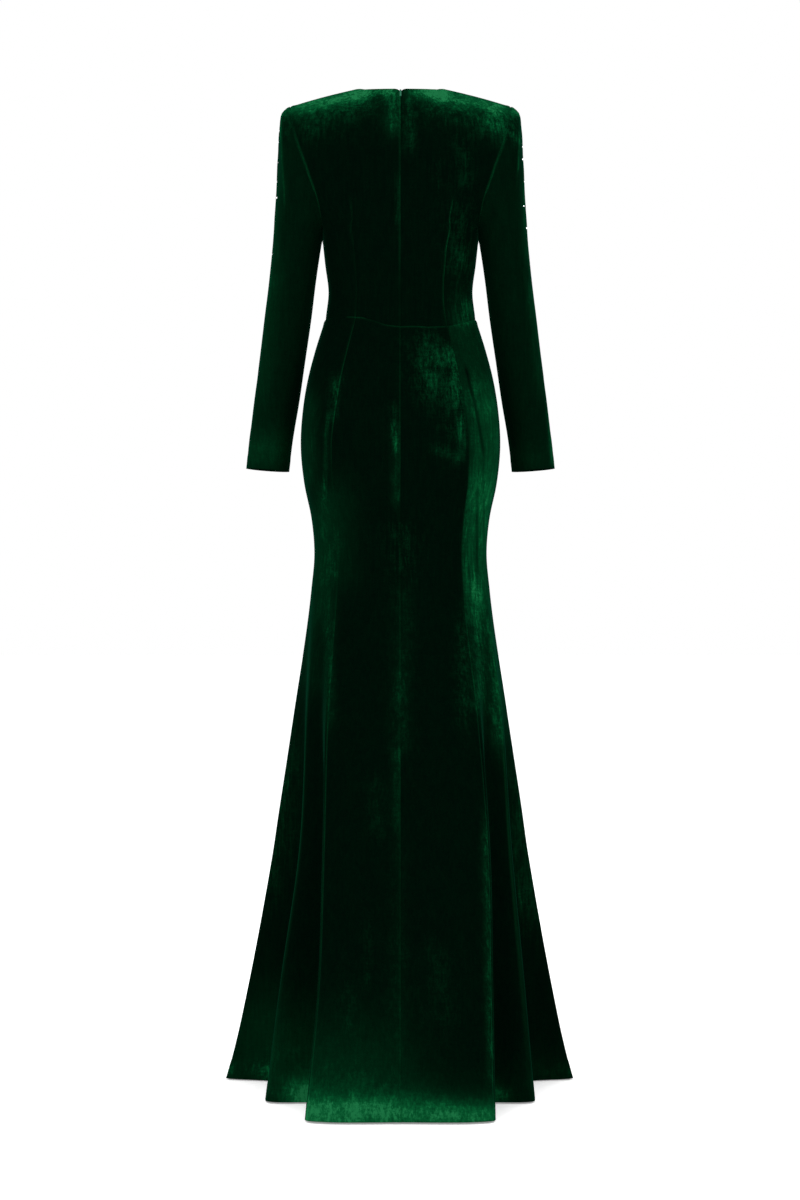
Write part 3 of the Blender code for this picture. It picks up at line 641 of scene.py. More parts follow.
def calculate(tree, operation, *values, clamp=False):
    """A Math node whose inputs are sockets or numbers."""
    node = tree.nodes.new("ShaderNodeMath")
    node.operation = operation
    node.use_clamp = clamp
    for socket, value in zip(node.inputs, values):
        if isinstance(value, bpy.types.NodeSocket):
            wire(tree, value, socket)
        else:
            socket.default_value = value
    return node.outputs[0]


def noise(tree, vector, stretch, scale, detail, roughness, distortion=0.0):
    """Noise on coordinates that are squeezed or stretched along their axes."""
    mapping = tree.nodes.new("ShaderNodeMapping")
    mapping.inputs["Scale"].default_value = stretch
    wire(tree, vector, mapping.inputs["Vector"])
    texture = tree.nodes.new("ShaderNodeTexNoise")
    texture.inputs["Scale"].default_value = scale
    texture.inputs["Detail"].default_value = detail
    texture.inputs["Roughness"].default_value = roughness
    texture.inputs["Distortion"].default_value = distortion
    wire(tree, mapping.outputs["Vector"], texture.inputs["Vector"])
    return texture.outputs["Fac"]


def new_group(name, inputs, outputs):
    """An empty shader node group, its input node and its output node."""
    group = bpy.data.node_groups.new(name, "ShaderNodeTree")
    for socket_name in inputs:
        group.interface.new_socket(name=socket_name, in_out="INPUT", socket_type="NodeSocketFloat")
    for socket_name, kind in outputs.items():
        group.interface.new_socket(name=socket_name, in_out="OUTPUT", socket_type=kind)
    return group, group.nodes.new("NodeGroupInput"), group.nodes.new("NodeGroupOutput")


def make_pile_and_sheen_group():
    """Velvet pile and its painted sheen: colour and height, from how much is crushed and how much sheen is
    painted.
    """
    outputs = {"Color": "NodeSocketColor", "Height": "NodeSocketFloat"}
    group, given, result = new_group("velvet_pile_and_sheen", ("Crushed", "Painted_Sheen"), outputs)
    place = group.nodes.new("ShaderNodeTexCoord").outputs["Object"]
    kinds = (CLOUD_NOISE, STREAK_NOISE, RIPPLE_NOISE, GRAIN_NOISE)
    cloud, streak, ripple, grain = [noise(group, place, *kind) for kind in kinds]
    clouded = calculate(group, "MULTIPLY", cloud, CLOUD_SHARE)
    uneven = calculate(group, "MULTIPLY_ADD", streak, STREAK_SHARE, clouded)
    grained = calculate(group, "MULTIPLY", grain, GRAIN_SHARE)
    crossed = calculate(group, "MULTIPLY_ADD", ripple, RIPPLE_SHARE, grained)
    mottle = calculate(group, "ADD", uneven, crossed)
    biased = calculate(group, "MULTIPLY_ADD", given.outputs["Crushed"], CRUSH_HELP, mottle)
    edge = group.nodes.new("ShaderNodeMapRange")
    edge.interpolation_type = "SMOOTHSTEP"
    edge.inputs["From Min"].default_value, edge.inputs["From Max"].default_value = CRUSH_EDGE
    wire(group, biased, edge.inputs["Value"])
    turned = calculate(group, "MULTIPLY", given.outputs["Crushed"], CRUSH_GAIN, clamp=True)
    bright = calculate(group, "MULTIPLY", edge.outputs["Result"], turned)
    thick = calculate(group, "MULTIPLY_ADD", mottle, *SHEEN_MOTTLE)
    # The painted sheen, thickened and thinned by the mottling, then the bright crushed patches added to it.
    lifted = calculate(group, "MULTIPLY", given.outputs["Painted_Sheen"], thick)
    crushed_and_sheen = calculate(group, "MULTIPLY_ADD", bright, CRUSH_LIGHT, lifted)
    faint = calculate(group, "MULTIPLY_ADD", mottle, *FAINT_MOTTLE)
    specks = calculate(group, "MULTIPLY_ADD", grain, *FAINT_GRAIN)
    pile_and_sheen_level = calculate(group, "ADD", crushed_and_sheen, calculate(group, "ADD", specks, faint), clamp=True)
    ramp = group.nodes.new("ShaderNodeValToRGB")
    stops = ramp.color_ramp.elements
    for _ in PILE_AND_SHEEN_COLOURS[2:]:
        stops.new(0.5)
    for stop, (position, colour) in zip(stops, PILE_AND_SHEEN_COLOURS):
        stop.position = position
        stop.color = (*colour, 1)
    wire(group, pile_and_sheen_level, ramp.inputs["Fac"])
    wire(group, ramp.outputs["Color"], result.inputs["Color"])
    wire(group, calculate(group, "MULTIPLY_ADD", grain, GRAIN_HEIGHT, mottle), result.inputs["Height"])
    return group


def new_material(name, settings):
    """A material whose shader has these settings, with its node tree and that shader."""
    material = bpy.data.materials.new(name)
    material.use_nodes = True
    shader = material.node_tree.nodes["Principled BSDF"]
    for socket_name, value in settings.items():
        shader.inputs[socket_name].default_value = value
    return material, material.node_tree, shader


def add_bump(tree, shader, height, strength, distance):
    """Makes the surface look raised by a height."""
    bump = tree.nodes.new("ShaderNodeBump")
    bump.inputs["Strength"].default_value = strength
    bump.inputs["Distance"].default_value = distance
    wire(tree, height, bump.inputs["Height"])
    wire(tree, bump.outputs["Normal"], shader.inputs["Normal"])


def make_velvet(name, pile_and_sheen_group):
    """Dark green silk velvet, with painted sheen and painted highlights in its base colour."""
    settings = {
        "Roughness": 0.95,
        "Specular IOR Level": 0.0,
        "Sheen Weight": 0.07,
        "Sheen Roughness": 0.30,
        "Sheen Tint": (0.03, 0.60, 0.28, 1),
    }
    material, tree, shader = new_material(name, settings)
    pile = tree.nodes.new("ShaderNodeGroup")
    pile.node_tree = pile_and_sheen_group
    for attribute, socket_name in (("crushed", "Crushed"), ("lifted", "Painted_Sheen")):
        node = tree.nodes.new("ShaderNodeAttribute")
        node.attribute_name = attribute
        wire(tree, node.outputs["Fac"], pile.inputs[socket_name])
    add_bump(tree, shader, pile.outputs["Height"], 0.30, 0.0006)
    wire(tree, pile.outputs["Color"], shader.inputs["Base Color"])
    return material


VELVET = make_velvet("green_silk_velvet", make_pile_and_sheen_group())


def linked(name, data):
    """A new object in the scene."""
    thing = bpy.data.objects.new(name, data)
    bpy.context.scene.collection.objects.link(thing)
    return thing


def finished_object(name, mesh, material):
    """Turns a finished bmesh into an object of one material."""
    data = bpy.data.meshes.new(name)
    mesh.to_mesh(data)
    mesh.free()
    data.materials.append(material)
    return linked(name, data)


def drawn_in(grid, closed):
    """The grid with its edges drawn in by the width of a seam's gap."""
    result = grid.copy()
    result[0] += unit(grid[1] - grid[0]) * SEAM_GAP
    result[-1] += unit(grid[-2] - grid[-1]) * SEAM_GAP
    if not closed:
        result[:, 0] += unit(grid[:, 1] - grid[:, 0]) * SEAM_GAP
        result[:, -1] += unit(grid[:, -2] - grid[:, -1]) * SEAM_GAP
    return result


def velvet_panel(node, grid, pile, flat, area, closed=False):
    """Makes the velvet that stands for a node: a thin wall laid to its points, with its pile and painted sheen."""
    placed = drawn_in(grid, closed) - (0, 0, HOLD_HEIGHT)
    rows, columns = grid.shape[:2]
    mesh = bmesh.new()
    bmesh.ops.create_grid(mesh, x_segments=columns - 1, y_segments=rows - 1, size=0.5)
    layers = [mesh.verts.layers.float.new(name) for name in ("crushed", "lifted")]
    for vertex in mesh.verts:
        column = round((vertex.co.x + 0.5) * (columns - 1))
        row = round((vertex.co.y + 0.5) * (rows - 1))
        vertex.co = placed[row, column]
        for layer, amount in zip(layers, pile[row, column]):
            vertex[layer] = amount
    if closed:
        bmesh.ops.remove_doubles(mesh, verts=mesh.verts, dist=0.00001)
    bmesh.ops.reverse_faces(mesh, faces=mesh.faces)
    panel = finished_object(node + "_velvet", mesh, VELVET)
    panel.data.shade_smooth()
    wall = panel.modifiers.new("wall", "SOLIDIFY")
    wall.thickness = WALL
    wall.offset = -1
    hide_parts(node)
    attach(panel, "gown")


# How far each row lies below the waist, closer together near its seam and the hem.
waist_height = SKIRT_ROWS[0][1]
below_waist = [0.0, 0.0008, 0.002, 0.004, 0.006, 0.009]
below_waist += list(np.linspace(0.013, 0.25, 60)) + list(np.linspace(0.256, waist_height - 0.07, 140))
below_waist += list(np.linspace(waist_height - 0.0645, waist_height - 0.004, 14))
below_waist += [waist_height - 0.0015, waist_height]
skirt_heights = [waist_height - depth for depth in below_waist]
left_half = skirt_half("left", skirt_heights, 1)
right_half = (skirt_half("right", skirt_heights, -1) * (-1, 1, 1))[:, ::-1]
skirt = np.concatenate([left_half, right_half[:, 1:]], axis=1)
skirt_normals = outward(skirt, True)
skirt_pile_and_sheen = worked(skirt, skirt_normals, BODY_PILE_AND_SHEEN)

last = skirt.shape[1] - 1
princess = column_at("back_princess")
side = column_at("side")
front_princess = column_at("front_princess")
skirt_out = worked(skirt, skirt_normals, BODY_CREASES)[..., 0]
lengths = along_rows(skirt)
flute = column_at("side_back_flute")
SKIRT_SEAMS = (
    (0, CENTRE_BACK_SHINE),
    (princess, LEFT_BACK_SHINE),
    (side, PLAIN_SHINE),
    (front_princess, PLAIN_SHINE),
    (last - front_princess, PLAIN_SHINE),
    (last - side, PLAIN_SHINE),
    (last - princess, RIGHT_BACK_SHINE),
    (last, CENTRE_BACK_SHINE),
)
# Each seam dips into the cloth, with a painted highlight laid beside it.
for seam, table in SKIRT_SEAMS:
    from_seam = lengths - lengths[:, seam : seam + 1]
    skirt_out += seam_line(from_seam)
    skirt_pile_and_sheen[..., 1] += shine(from_seam, skirt[..., 2], table)
# A painted highlight along the edge of each flute.
for fold in (flute, last - flute):
    from_fold = lengths - lengths[:, fold : fold + 1]
    skirt_pile_and_sheen[..., 1] += shine(from_fold / FLUTE_SHINE_SPREAD, skirt[..., 2], FLUTE_SHINE)
# The waist seam dips in, with its painted highlight beside it.
from_waist = down_columns(skirt)
skirt_out += seam_line(from_waist)
skirt_pile_and_sheen[..., 1] += shine(from_waist / WAIST_SHINE_SPREAD, skirt[..., 0], WAIST_SHINE)
skirt_out += HEM_BULK * smooth_step(HEM_TURN - skirt[..., 2], -TURN_FADE, TURN_FADE)
kick = np.clip(1 - skirt[..., 2] / HEM_KICK_HEIGHT, 0, 1) ** 2
skirt_out += HEM_KICK * kick * smooth_step(skirt_normals[..., 1], *HEM_KICK_FACING)
skirt = skirt + skirt_normals * skirt_out[..., None]

# Each panel's first and last column, and the width, length and area of the cloth that it is cut from.
SKIRT_PANELS = (
    ("skirt_back_left", 0, princess, (0.19, 1.36), 0.19),
    ("skirt_side_back_left", princess, side, (0.52, 1.36), 0.30),
    ("skirt_side_front_left", side, front_princess, (0.39, 1.34), 0.25),
    ("skirt_front", front_princess, last - front_princess, (0.33, 1.33), 0.35),
    ("skirt_side_front_right", last - front_princess, last - side, (0.39, 1.34), 0.25),
    ("skirt_side_back_right", last - side, last - princess, (0.52, 1.35), 0.30),
    ("skirt_back_right", last - princess, last, (0.19, 1.36), 0.20),
)
for node, first, stop, flat, area in SKIRT_PANELS:
    cut = slice(first, stop + 1)
    pile = skirt_pile_and_sheen[:, cut] + worked(skirt[:, cut], skirt_normals[:, cut], PANEL_PILE_AND_SHEEN.get(node, ()))
    velvet_panel(node, skirt[:, cut], pile, flat, area)


# ---------------------------------------------------------------------------------------------------------
# The bodice. A front and two backs of the same velvet, each shaped by a dart on each hand, joined at the sides
# and shoulders and sewn to the skirt at the waist. The neck is round, with a small notch above the zip.

BODICE_ROWS = (
    # centre, side, half_width, back, front, side_y
    (1.327, 1.334, 0.1206, 0.076, -0.098, -0.008),
    (1.378, 1.382, 0.1262, 0.083, -0.107, -0.004),
)
BODICE_KNOTS = (-100, -67, -34)
UPPER_BACK = (
    # armhole_angle, centre_height, centre_depth, arc_end
    (0, 1.428, 0.0900, 90),
    (30, 1.463, 0.0940, 80),
    (60, 1.504, 0.0955, 71),
    (90, 1.548, 0.0925, 65),
    (120, 1.593, 0.0840, 62),
    (150, 1.635, 0.0700, 62),
)
UPPER_FRONT = (
    (0, 1.421, -0.1130, 90),
    (30, 1.451, -0.1150, 80),
    (60, 1.485, -0.1125, 71),
    (90, 1.518, -0.1080, 65),
    (120, 1.549, -0.1010, 62),
    (150, 1.577, -0.0940, 62),
)
BUST_X = 0.078
BUST_HEIGHT = 1.412
BUST_RISE = 0.014
BUST_SPREAD = 0.048

NECK_SIDE = (0.0638, -0.006, 1.680)
NECK_BACK = (0.055, 1.6690)
NECK_FRONT = (-0.087, 1.600)
NOTCH_DEPTH = 0.0055
NOTCH_HALF_WIDTH = 0.0070
NOTCH_REACH = 0.022
UNDERARM = (0.1312, 0.000, 1.431)
SHOULDER_TIP = (0.1865, 0.000, 1.6480)
ARMHOLE_DEPTH = 0.062
SHOULDER_ARCH = 0.0015
BACK_DART_TOP = 1.490
FRONT_DART_TOP = 1.400
DART_FADE = 0.030
NECK_ROLL = 0.0010
NECK_ROLL_WIDTH = 0.0030
WAIST_EASE = 0.035
# The tips of the darts lean out from the lines of the skirt's seams below them, between these heights.
DART_LEAN_HEIGHTS = (1.395, 1.50)
RIGHT_DART_LEAN = 0.019
LEFT_DART_LEAN = 0.012

# The painted highlight along the armholes, at rising heights, and how much wider it is than along the skirt's
# seams.
ARMHOLE_SHINE = ((1.38, 0.16), (1.42, 0.38), (1.52, 0.42), (1.58, 0.28), (1.61, 0.05), (1.66, 0.05))
ARMHOLE_SHINE_SPREAD = 2.0
BODICE_SHINE_SPREAD = 1.2
# The pile of the left back beside the zip, with painted sheen below the neck.
LEFT_BACK_PILE_AND_SHEEN = (
    # face, place, height, to_place, to_height, width, crushed, lifted
    ("back", 0.01, 1.668, 0.012, 1.59, 0.014, 0.24, 0.24),
    ("back", 0.004, 1.53, 0.005, 1.43, 0.004, 0.2, 0.04),
)


def armhole(angles):
    """The armhole seam at angles round it: 0 underarm, 90 back, 180 shoulder."""
    turns = np.radians(angles)
    share = (1 - np.cos(turns)) / 2
    x = UNDERARM[0] + (SHOULDER_TIP[0] - UNDERARM[0]) * share * share * (3 - 2 * share)
    height = UNDERARM[2] + (SHOULDER_TIP[2] - UNDERARM[2]) * share
    return np.column_stack([x, ARMHOLE_DEPTH * np.sin(turns), height])


def top_row(below, neck):
    """The neck edge from its centre (y, height) to the neck's side, then the shoulder seam to the armhole."""
    row = np.empty_like(below)
    neck_width = below[neck_corner, 0]
    round_neck = np.arcsin(np.clip(below[:, 0] / neck_width, 0, 1))
    row[:, 0] = NECK_SIDE[0] * np.sin(round_neck)
    row[:, 1] = NECK_SIDE[1] + (neck[0] - NECK_SIDE[1]) * np.cos(round_neck)
    row[:, 2] = NECK_SIDE[2] + (neck[1] - NECK_SIDE[2]) * np.cos(round_neck)
    along = np.clip((below[:, 0] - neck_width) / (below[-1, 0] - neck_width), 0, 1)
    row += along[:, None] * (np.array(SHOULDER_TIP) - NECK_SIDE)
    row[:, 2] += SHOULDER_ARCH * np.sin(along * math.pi)
    return row


def bodice_face(upper_rows, neck, depth_column):
    """Table rows of a quarter of the bodice from the waist seam up, columns from its centre out."""
    _, _, half_width, _, _, _, princess_x = SKIRT_ROWS[0]
    angles = line_angles(half_width, princess_x)
    shares = columns_of(angles + [1] * (len(LINES) - len(angles)))[: side + 1]
    rows = []
    for row in (SKIRT_ROWS[0],) + BODICE_ROWS:
        rows.append(arc_row(shares, (row[depth_column], row[0]), (row[2], row[5], row[1])))
    for angle, height, depth, arc_end in upper_rows:
        edge = armhole([angle])[0] * (1, math.copysign(1, depth), 1)
        rows.append(arc_row(shares, (depth, height), edge, arc_end))
    rows.append(top_row(rows[-1], neck))
    return np.array(rows)


def filled_in(face, other_face, places):
    """The face's rows at every place on it, led over the shoulder into the other face."""
    knots = list(BODICE_KNOTS) + [row[0] for row in UPPER_BACK] + [180, 210]
    over = smooth_step(np.arange(face.shape[1]), neck_corner - 3, neck_corner + 3)[:, None]
    beyond = 2 * face[-1] - face[-2]
    beyond = beyond + (other_face[-2] - beyond) * over
    filled = spline(knots, np.concatenate([face, beyond[None]]), places)
    on_armhole = places >= 0
    filled[on_armhole, -1] = armhole(places[on_armhole]) * (1, math.copysign(1, face[0, 0, 1]), 1)
    return filled


def eased(grid, target, reach):
    """Moves the first row of a grid to its target, and less of the cloth below it as far as the reach."""
    fade = np.clip(1 - down_columns(grid) / reach, 0, 1) ** 2
    return grid + (target - grid[0]) * fade[..., None]


# Places down a face: angles round the armhole, then down to -100 at the waist, closer together near the seams.
NEAR_SHOULDER = (180, 179.6, 179, 178)
NEAR_WAIST = (-98.2, -99.2, -99.7, -100)
places = np.concatenate([NEAR_SHOULDER, np.linspace(176.6, 0, 52), np.linspace(0, -97, 36)[1:], NEAR_WAIST])
neck_corner = column_at("back_flat")
underarm_row = int(np.argmin(np.abs(places)))
back_face = bodice_face(UPPER_BACK, NECK_BACK, 3)
front_face = bodice_face(UPPER_FRONT, NECK_FRONT, 4)
back_quarter = filled_in(back_face, front_face, places)
front_quarter = filled_in(front_face, back_face, places)
away = (front_quarter[..., 0] - BUST_X) ** 2 + (front_quarter[..., 2] - BUST_HEIGHT) ** 2
front_quarter[..., 1] -= BUST_RISE * np.exp(-away / BUST_SPREAD**2)
front_quarter[0, neck_corner:] = back_quarter[0, neck_corner:]
front_quarter[underarm_row:, -1] = back_quarter[underarm_row:, -1]

# The back from the right side to the left, and the front from the left side to the right.
back = np.concatenate([(back_quarter * (-1, 1, 1))[:, ::-1], back_quarter[:, 1:]], axis=1)
front = np.concatenate([front_quarter[:, ::-1], (front_quarter * (-1, 1, 1))[:, 1:]], axis=1)
back_normals = outward(back, False)
front_normals = outward(front, False)
for row in range(underarm_row, len(places)):
    for back_edge, front_edge in ((-1, 0), (0, -1)):
        together = unit(back_normals[row, back_edge] + front_normals[row, front_edge])
        back_normals[row, back_edge] = front_normals[row, front_edge] = together
on_shoulder = np.abs(np.arange(2 * side + 1) - side) >= neck_corner
together = unit(back_normals[0] + front_normals[0, ::-1])
back_normals[0, on_shoulder] = together[on_shoulder]
front_normals[0, ::-1][on_shoulder] = together[on_shoulder]


def finished_bodice(grid, normals, pile, dart_top, shines, centre_shine=None):
    """Where the points of a bodice face end up once its seams, darts, creases and neck edge are made; painted
    highlights are laid into its pile beside them.
    """
    out = worked(grid, normals, BODY_CREASES)[..., 0]
    across = along_rows(grid)
    down = down_columns(grid)
    everywhere = np.ones(grid.shape[:2])
    sewn = smooth_step(dart_top - grid[..., 2], 0, DART_FADE)
    shoulder = smooth_step(np.abs(np.arange(2 * side + 1) - side), neck_corner - 1, neck_corner + 1)
    lean = smooth_step(grid[..., 2], *DART_LEAN_HEIGHTS)
    right_dart, left_dart = [across - across[:, dart : dart + 1] for dart in (side - princess, side + princess)]
    right_dart += lean * RIGHT_DART_LEAN
    left_dart -= lean * LEFT_DART_LEAN
    armhole_shine, right_shine, left_shine = shines
    seams = [
        (across, everywhere, armhole_shine),
        (across[:, -1:] - across, everywhere, armhole_shine),
        (down, shoulder, PLAIN_SHINE),
        (right_dart, sewn, right_shine),
        (left_dart, sewn, left_shine),
    ]
    if centre_shine:
        seams.append((across - across[:, side : side + 1], everywhere, centre_shine))
    for distance, strength, table in seams:
        out += seam_line(distance) * strength
        # A painted highlight beside each seam and dart.
        spread = ARMHOLE_SHINE_SPREAD if table is ARMHOLE_SHINE else BODICE_SHINE_SPREAD
        pile[..., 1] += shine(distance / spread, grid[..., 2], table) * strength
    out -= NECK_ROLL * np.exp(-((down / NECK_ROLL_WIDTH) ** 2)) * (1 - shoulder)
    return grid + normals * out[..., None]


back_pile_and_sheen = worked(back, back_normals, BODY_PILE_AND_SHEEN)
front_pile_and_sheen = worked(front, front_normals, BODY_PILE_AND_SHEEN)
notched = np.clip(1 - np.abs(back[0, :, 0]) / NOTCH_HALF_WIDTH, 0, 1)
notched = notched * (np.abs(np.arange(2 * side + 1) - side) < neck_corner)
down = down_columns(back)
drop = NOTCH_DEPTH * notched * np.clip(1 - down / NOTCH_REACH, 0, 1) ** 2
back = back + unit(np.gradient(back, axis=0)) * drop[..., None]
back_shines = (ARMHOLE_SHINE, RIGHT_BACK_SHINE, LEFT_BACK_SHINE)
back = finished_bodice(back, back_normals, back_pile_and_sheen, BACK_DART_TOP, back_shines, CENTRE_BACK_SHINE)
front = finished_bodice(front, front_normals, front_pile_and_sheen, FRONT_DART_TOP, (PLAIN_SHINE,) * 3)
waist_back = np.concatenate([skirt[0, last - side : last], skirt[0, : side + 1]])
waist_front = skirt[0, side : last - side + 1]
back = eased(back[::-1], waist_back, WAIST_EASE)[::-1]
front = eased(front[::-1], waist_front, WAIST_EASE)[::-1]

left_pile_and_sheen = back_pile_and_sheen[:, side:] + worked(back[:, side:], back_normals[:, side:], LEFT_BACK_PILE_AND_SHEEN)
# Each panel's form, pile and painted sheen, and the width, length and area of the cloth that it is cut from.
BODICE_PANELS = (
    ("bodice_back_right", back[:, : side + 1], back_pile_and_sheen[:, : side + 1], (0.25, 0.48), 0.085),
    ("bodice_back_left", back[:, side:], left_pile_and_sheen, (0.25, 0.47), 0.085),
    ("bodice_front", front, front_pile_and_sheen, (0.56, 0.47), 0.165),
)
for panel in BODICE_PANELS:
    velvet_panel(*panel)


# ---------------------------------------------------------------------------------------------------------
# The sleeves. Each is one long piece of velvet, seamed under the arm and set into the armhole over a padded
# head. It is narrow down to an open cuff, whose edge is turned up inside.

SLEEVE_RINGS = (
    # inner_x, inner_height, outer_x, outer_height, half_depth, middle_y, armhole_curve
    (0.1328, 1.4272, 0.1984, 1.6405, 0.0615, 0.000, 0.8),
    (0.1343, 1.4232, 0.2042, 1.6120, 0.0595, 0.000, 0.6),
    (0.1357, 1.4185, 0.2068, 1.5640, 0.0565, 0.000, 0.3),
    (0.1370, 1.4110, 0.2090, 1.5040, 0.0535, -0.001, 0.1),
    (0.1390, 1.3990, 0.2142, 1.4340, 0.0510, -0.002, 0.0),
    (0.1454, 1.3560, 0.2219, 1.3560, 0.0495, -0.004, 0.0),
    (0.1539, 1.2880, 0.2304, 1.2880, 0.0475, -0.006, 0.0),
    (0.1640, 1.2200, 0.2389, 1.2200, 0.0455, -0.010, 0.0),
    (0.1743, 1.1520, 0.2490, 1.1520, 0.0430, -0.018, 0.0),
    (0.1862, 1.0840, 0.2576, 1.0840, 0.0400, -0.028, 0.0),
    (0.1930, 1.0320, 0.2627, 1.0370, 0.0375, -0.036, 0.0),
)
SLEEVE_LENGTHS = 130
CUFF_TURN = 0.022
CUFF_BULK = 0.0004
ARMHOLE_EASE = 0.012
# Painted sheen over the half of each sleeve that faces behind.
SLEEVE_BACK_SHEEN = 0.05
# The cut of each sleeve, and its area.
SLEEVE_CUT = (0.36, 0.66)
SLEEVE_CUT_AREA = 0.165

LEFT_SLEEVE_CREASES = (
    # face, place, height, to_place, to_height, width, out
    ("back", 0.2005, 1.62, 0.1975, 1.55, 0.0028, 0.0011),
    ("back", 0.1975, 1.555, 0.193, 1.475, 0.003, 0.001),
    ("back", 0.212, 1.5, 0.216, 1.42, 0.004, 0.0009),
    ("back", 0.142, 1.43, 0.148, 1.36, 0.005, -0.001),
    ("back", 0.162, 1.36, 0.2, 1.34, 0.009, -0.001),
    ("back", 0.18, 1.31, 0.22, 1.3, 0.008, 0.0008),
    ("back", 0.175, 1.25, 0.215, 1.262, 0.009, -0.0009),
    ("back", 0.195, 1.18, 0.208, 1.08, 0.013, 0.001),
    ("front", 0.145, 1.44, 0.17, 1.4, 0.007, -0.0013),
    ("front", 0.155, 1.33, 0.2, 1.345, 0.007, -0.0015),
    ("front", 0.16, 1.305, 0.205, 1.31, 0.007, 0.0011),
    ("front", 0.165, 1.28, 0.2, 1.268, 0.007, -0.0012),
    ("front", 0.185, 1.18, 0.205, 1.09, 0.012, 0.001),
    ("left", 0.01, 1.56, 0.006, 1.45, 0.012, 0.0009),
    ("left", -0.01, 1.2, -0.02, 1.1, 0.012, -0.0008),
)
RIGHT_SLEEVE_CREASES = (
    ("back", -0.1985, 1.6, -0.196, 1.53, 0.003, 0.0011),
    ("back", -0.205, 1.56, -0.209, 1.47, 0.003, 0.0009),
    ("back", -0.143, 1.425, -0.15, 1.35, 0.005, -0.0011),
    ("back", -0.164, 1.345, -0.2, 1.352, 0.009, -0.001),
    ("back", -0.182, 1.296, -0.22, 1.306, 0.008, 0.0008),
    ("back", -0.178, 1.236, -0.215, 1.244, 0.009, -0.0009),
    ("back", -0.198, 1.16, -0.212, 1.07, 0.013, 0.001),
    ("front", -0.145, 1.442, -0.17, 1.404, 0.007, -0.0013),
    ("front", -0.154, 1.338, -0.2, 1.35, 0.007, -0.0014),
    ("front", -0.161, 1.31, -0.208, 1.318, 0.007, 0.0011),
    ("front", -0.166, 1.286, -0.2, 1.276, 0.007, -0.0012),
    ("front", -0.187, 1.17, -0.208, 1.08, 0.012, 0.001),
    ("right", 0.008, 1.55, 0.006, 1.44, 0.012, 0.0009),
    ("right", -0.012, 1.19, -0.022, 1.09, 0.012, -0.0008),
)
# The pile of each sleeve and its painted sheen: painted highlights over the shoulder and along the raised creases
# behind, and lighter colour on its outer side and towards the cuff.
LEFT_SLEEVE_PILE_AND_SHEEN = (
    # face, place, height, to_place, to_height, width, crushed, lifted
    ("back", 0.17, 1.648, 0.2, 1.634, 0.012, 0.2, 0.14),
    ("back", 0.185, 1.62, 0.195, 1.59, 0.01, 0.16, 0.0),
    ("back", 0.2005, 1.62, 0.1975, 1.55, 0.0016, 0.1, 0.26),
    ("back", 0.1975, 1.555, 0.193, 1.475, 0.0018, 0.1, 0.2),
    ("back", 0.211, 1.5, 0.215, 1.42, 0.003, 0.1, 0.14),
    ("back", 0.205, 1.56, 0.212, 1.38, 0.014, 0.04, 0.09),
    ("back", 0.212, 1.38, 0.24, 1.13, 0.018, 0.04, 0.12),
    ("back", 0.18, 1.066, 0.265, 1.066, 0.036, 0.02, 0.2),
    ("front", 0.17, 1.648, 0.2, 1.634, 0.012, 0.26, 0.3),
    ("front", 0.185, 1.58, 0.19, 1.48, 0.016, 0.2, 0.05),
    ("front", 0.19, 1.38, 0.22, 1.2, 0.02, 0.18, 0.05),
    ("front", 0.19, 1.066, 0.265, 1.066, 0.036, 0.06, 0.14),
    ("left", -0.02, 1.62, 0.02, 1.62, 0.026, 0.2, 0.16),
    ("left", 0.0, 1.56, 0.0, 1.3, 0.024, 0.1, 0.1),
    ("left", -0.02, 1.26, -0.04, 1.06, 0.024, 0.1, 0.12),
)
RIGHT_SLEEVE_PILE_AND_SHEEN = (
    ("back", -0.17, 1.648, -0.2, 1.634, 0.014, 0.24, 0.16),
    ("back", -0.178, 1.625, -0.192, 1.58, 0.016, 0.26, 0.0),
    ("back", -0.1985, 1.6, -0.196, 1.53, 0.0016, 0.12, 0.28),
    ("back", -0.205, 1.56, -0.209, 1.47, 0.0018, 0.1, 0.18),
    ("back", -0.206, 1.52, -0.214, 1.38, 0.01, 0.06, 0.09),
    ("back", -0.216, 1.36, -0.238, 1.15, 0.009, 0.08, 0.12),
    ("back", -0.252, 1.14, -0.26, 1.04, 0.006, 0.3, 0.14),
    ("back", -0.18, 1.06, -0.24, 1.05, 0.026, 0.02, 0.06),
    ("front", -0.17, 1.648, -0.2, 1.634, 0.012, 0.26, 0.3),
    ("front", -0.183, 1.59, -0.19, 1.5, 0.016, 0.24, 0.05),
    ("front", -0.188, 1.37, -0.22, 1.18, 0.02, 0.2, 0.05),
    ("front", -0.19, 1.06, -0.265, 1.06, 0.03, 0.08, 0.12),
    ("right", -0.02, 1.62, 0.02, 1.62, 0.026, 0.22, 0.16),
    ("right", 0.0, 1.56, 0.0, 1.3, 0.024, 0.12, 0.1),
    ("right", -0.02, 1.26, -0.04, 1.06, 0.024, 0.12, 0.1),
)


def sleeve_shape(first_ring, turns):
    """The left sleeve from its armhole to its cuff, columns up its back from the underarm and down its front."""
    share = (1 - np.cos(turns)) / 2
    sway = share * share * (3 - 2 * share) - share
    rings = [first_ring]
    for inner_x, inner_height, outer_x, outer_height, half_depth, middle_y, curve in SLEEVE_RINGS:
        x = inner_x + (outer_x - inner_x) * (share + curve * sway)
        height = inner_height + (outer_height - inner_height) * share
        rings.append(np.column_stack([x, middle_y + half_depth * np.sin(turns), height]))
    rings = np.array(rings)
    steps = np.linalg.norm(np.diff(rings, axis=0), axis=2).mean(axis=1)
    knots = np.concatenate([[0], np.cumsum(steps)])
    near_head = [0.0, 0.0008, 0.002, 0.0035, 0.005]
    stops = np.concatenate([near_head, np.linspace(0.0072, knots[-1] - 0.0015, SLEEVE_LENGTHS), knots[-1:]])
    shape = spline(knots, rings, stops)
    shape[:, -1] = shape[:, 0]
    return shape


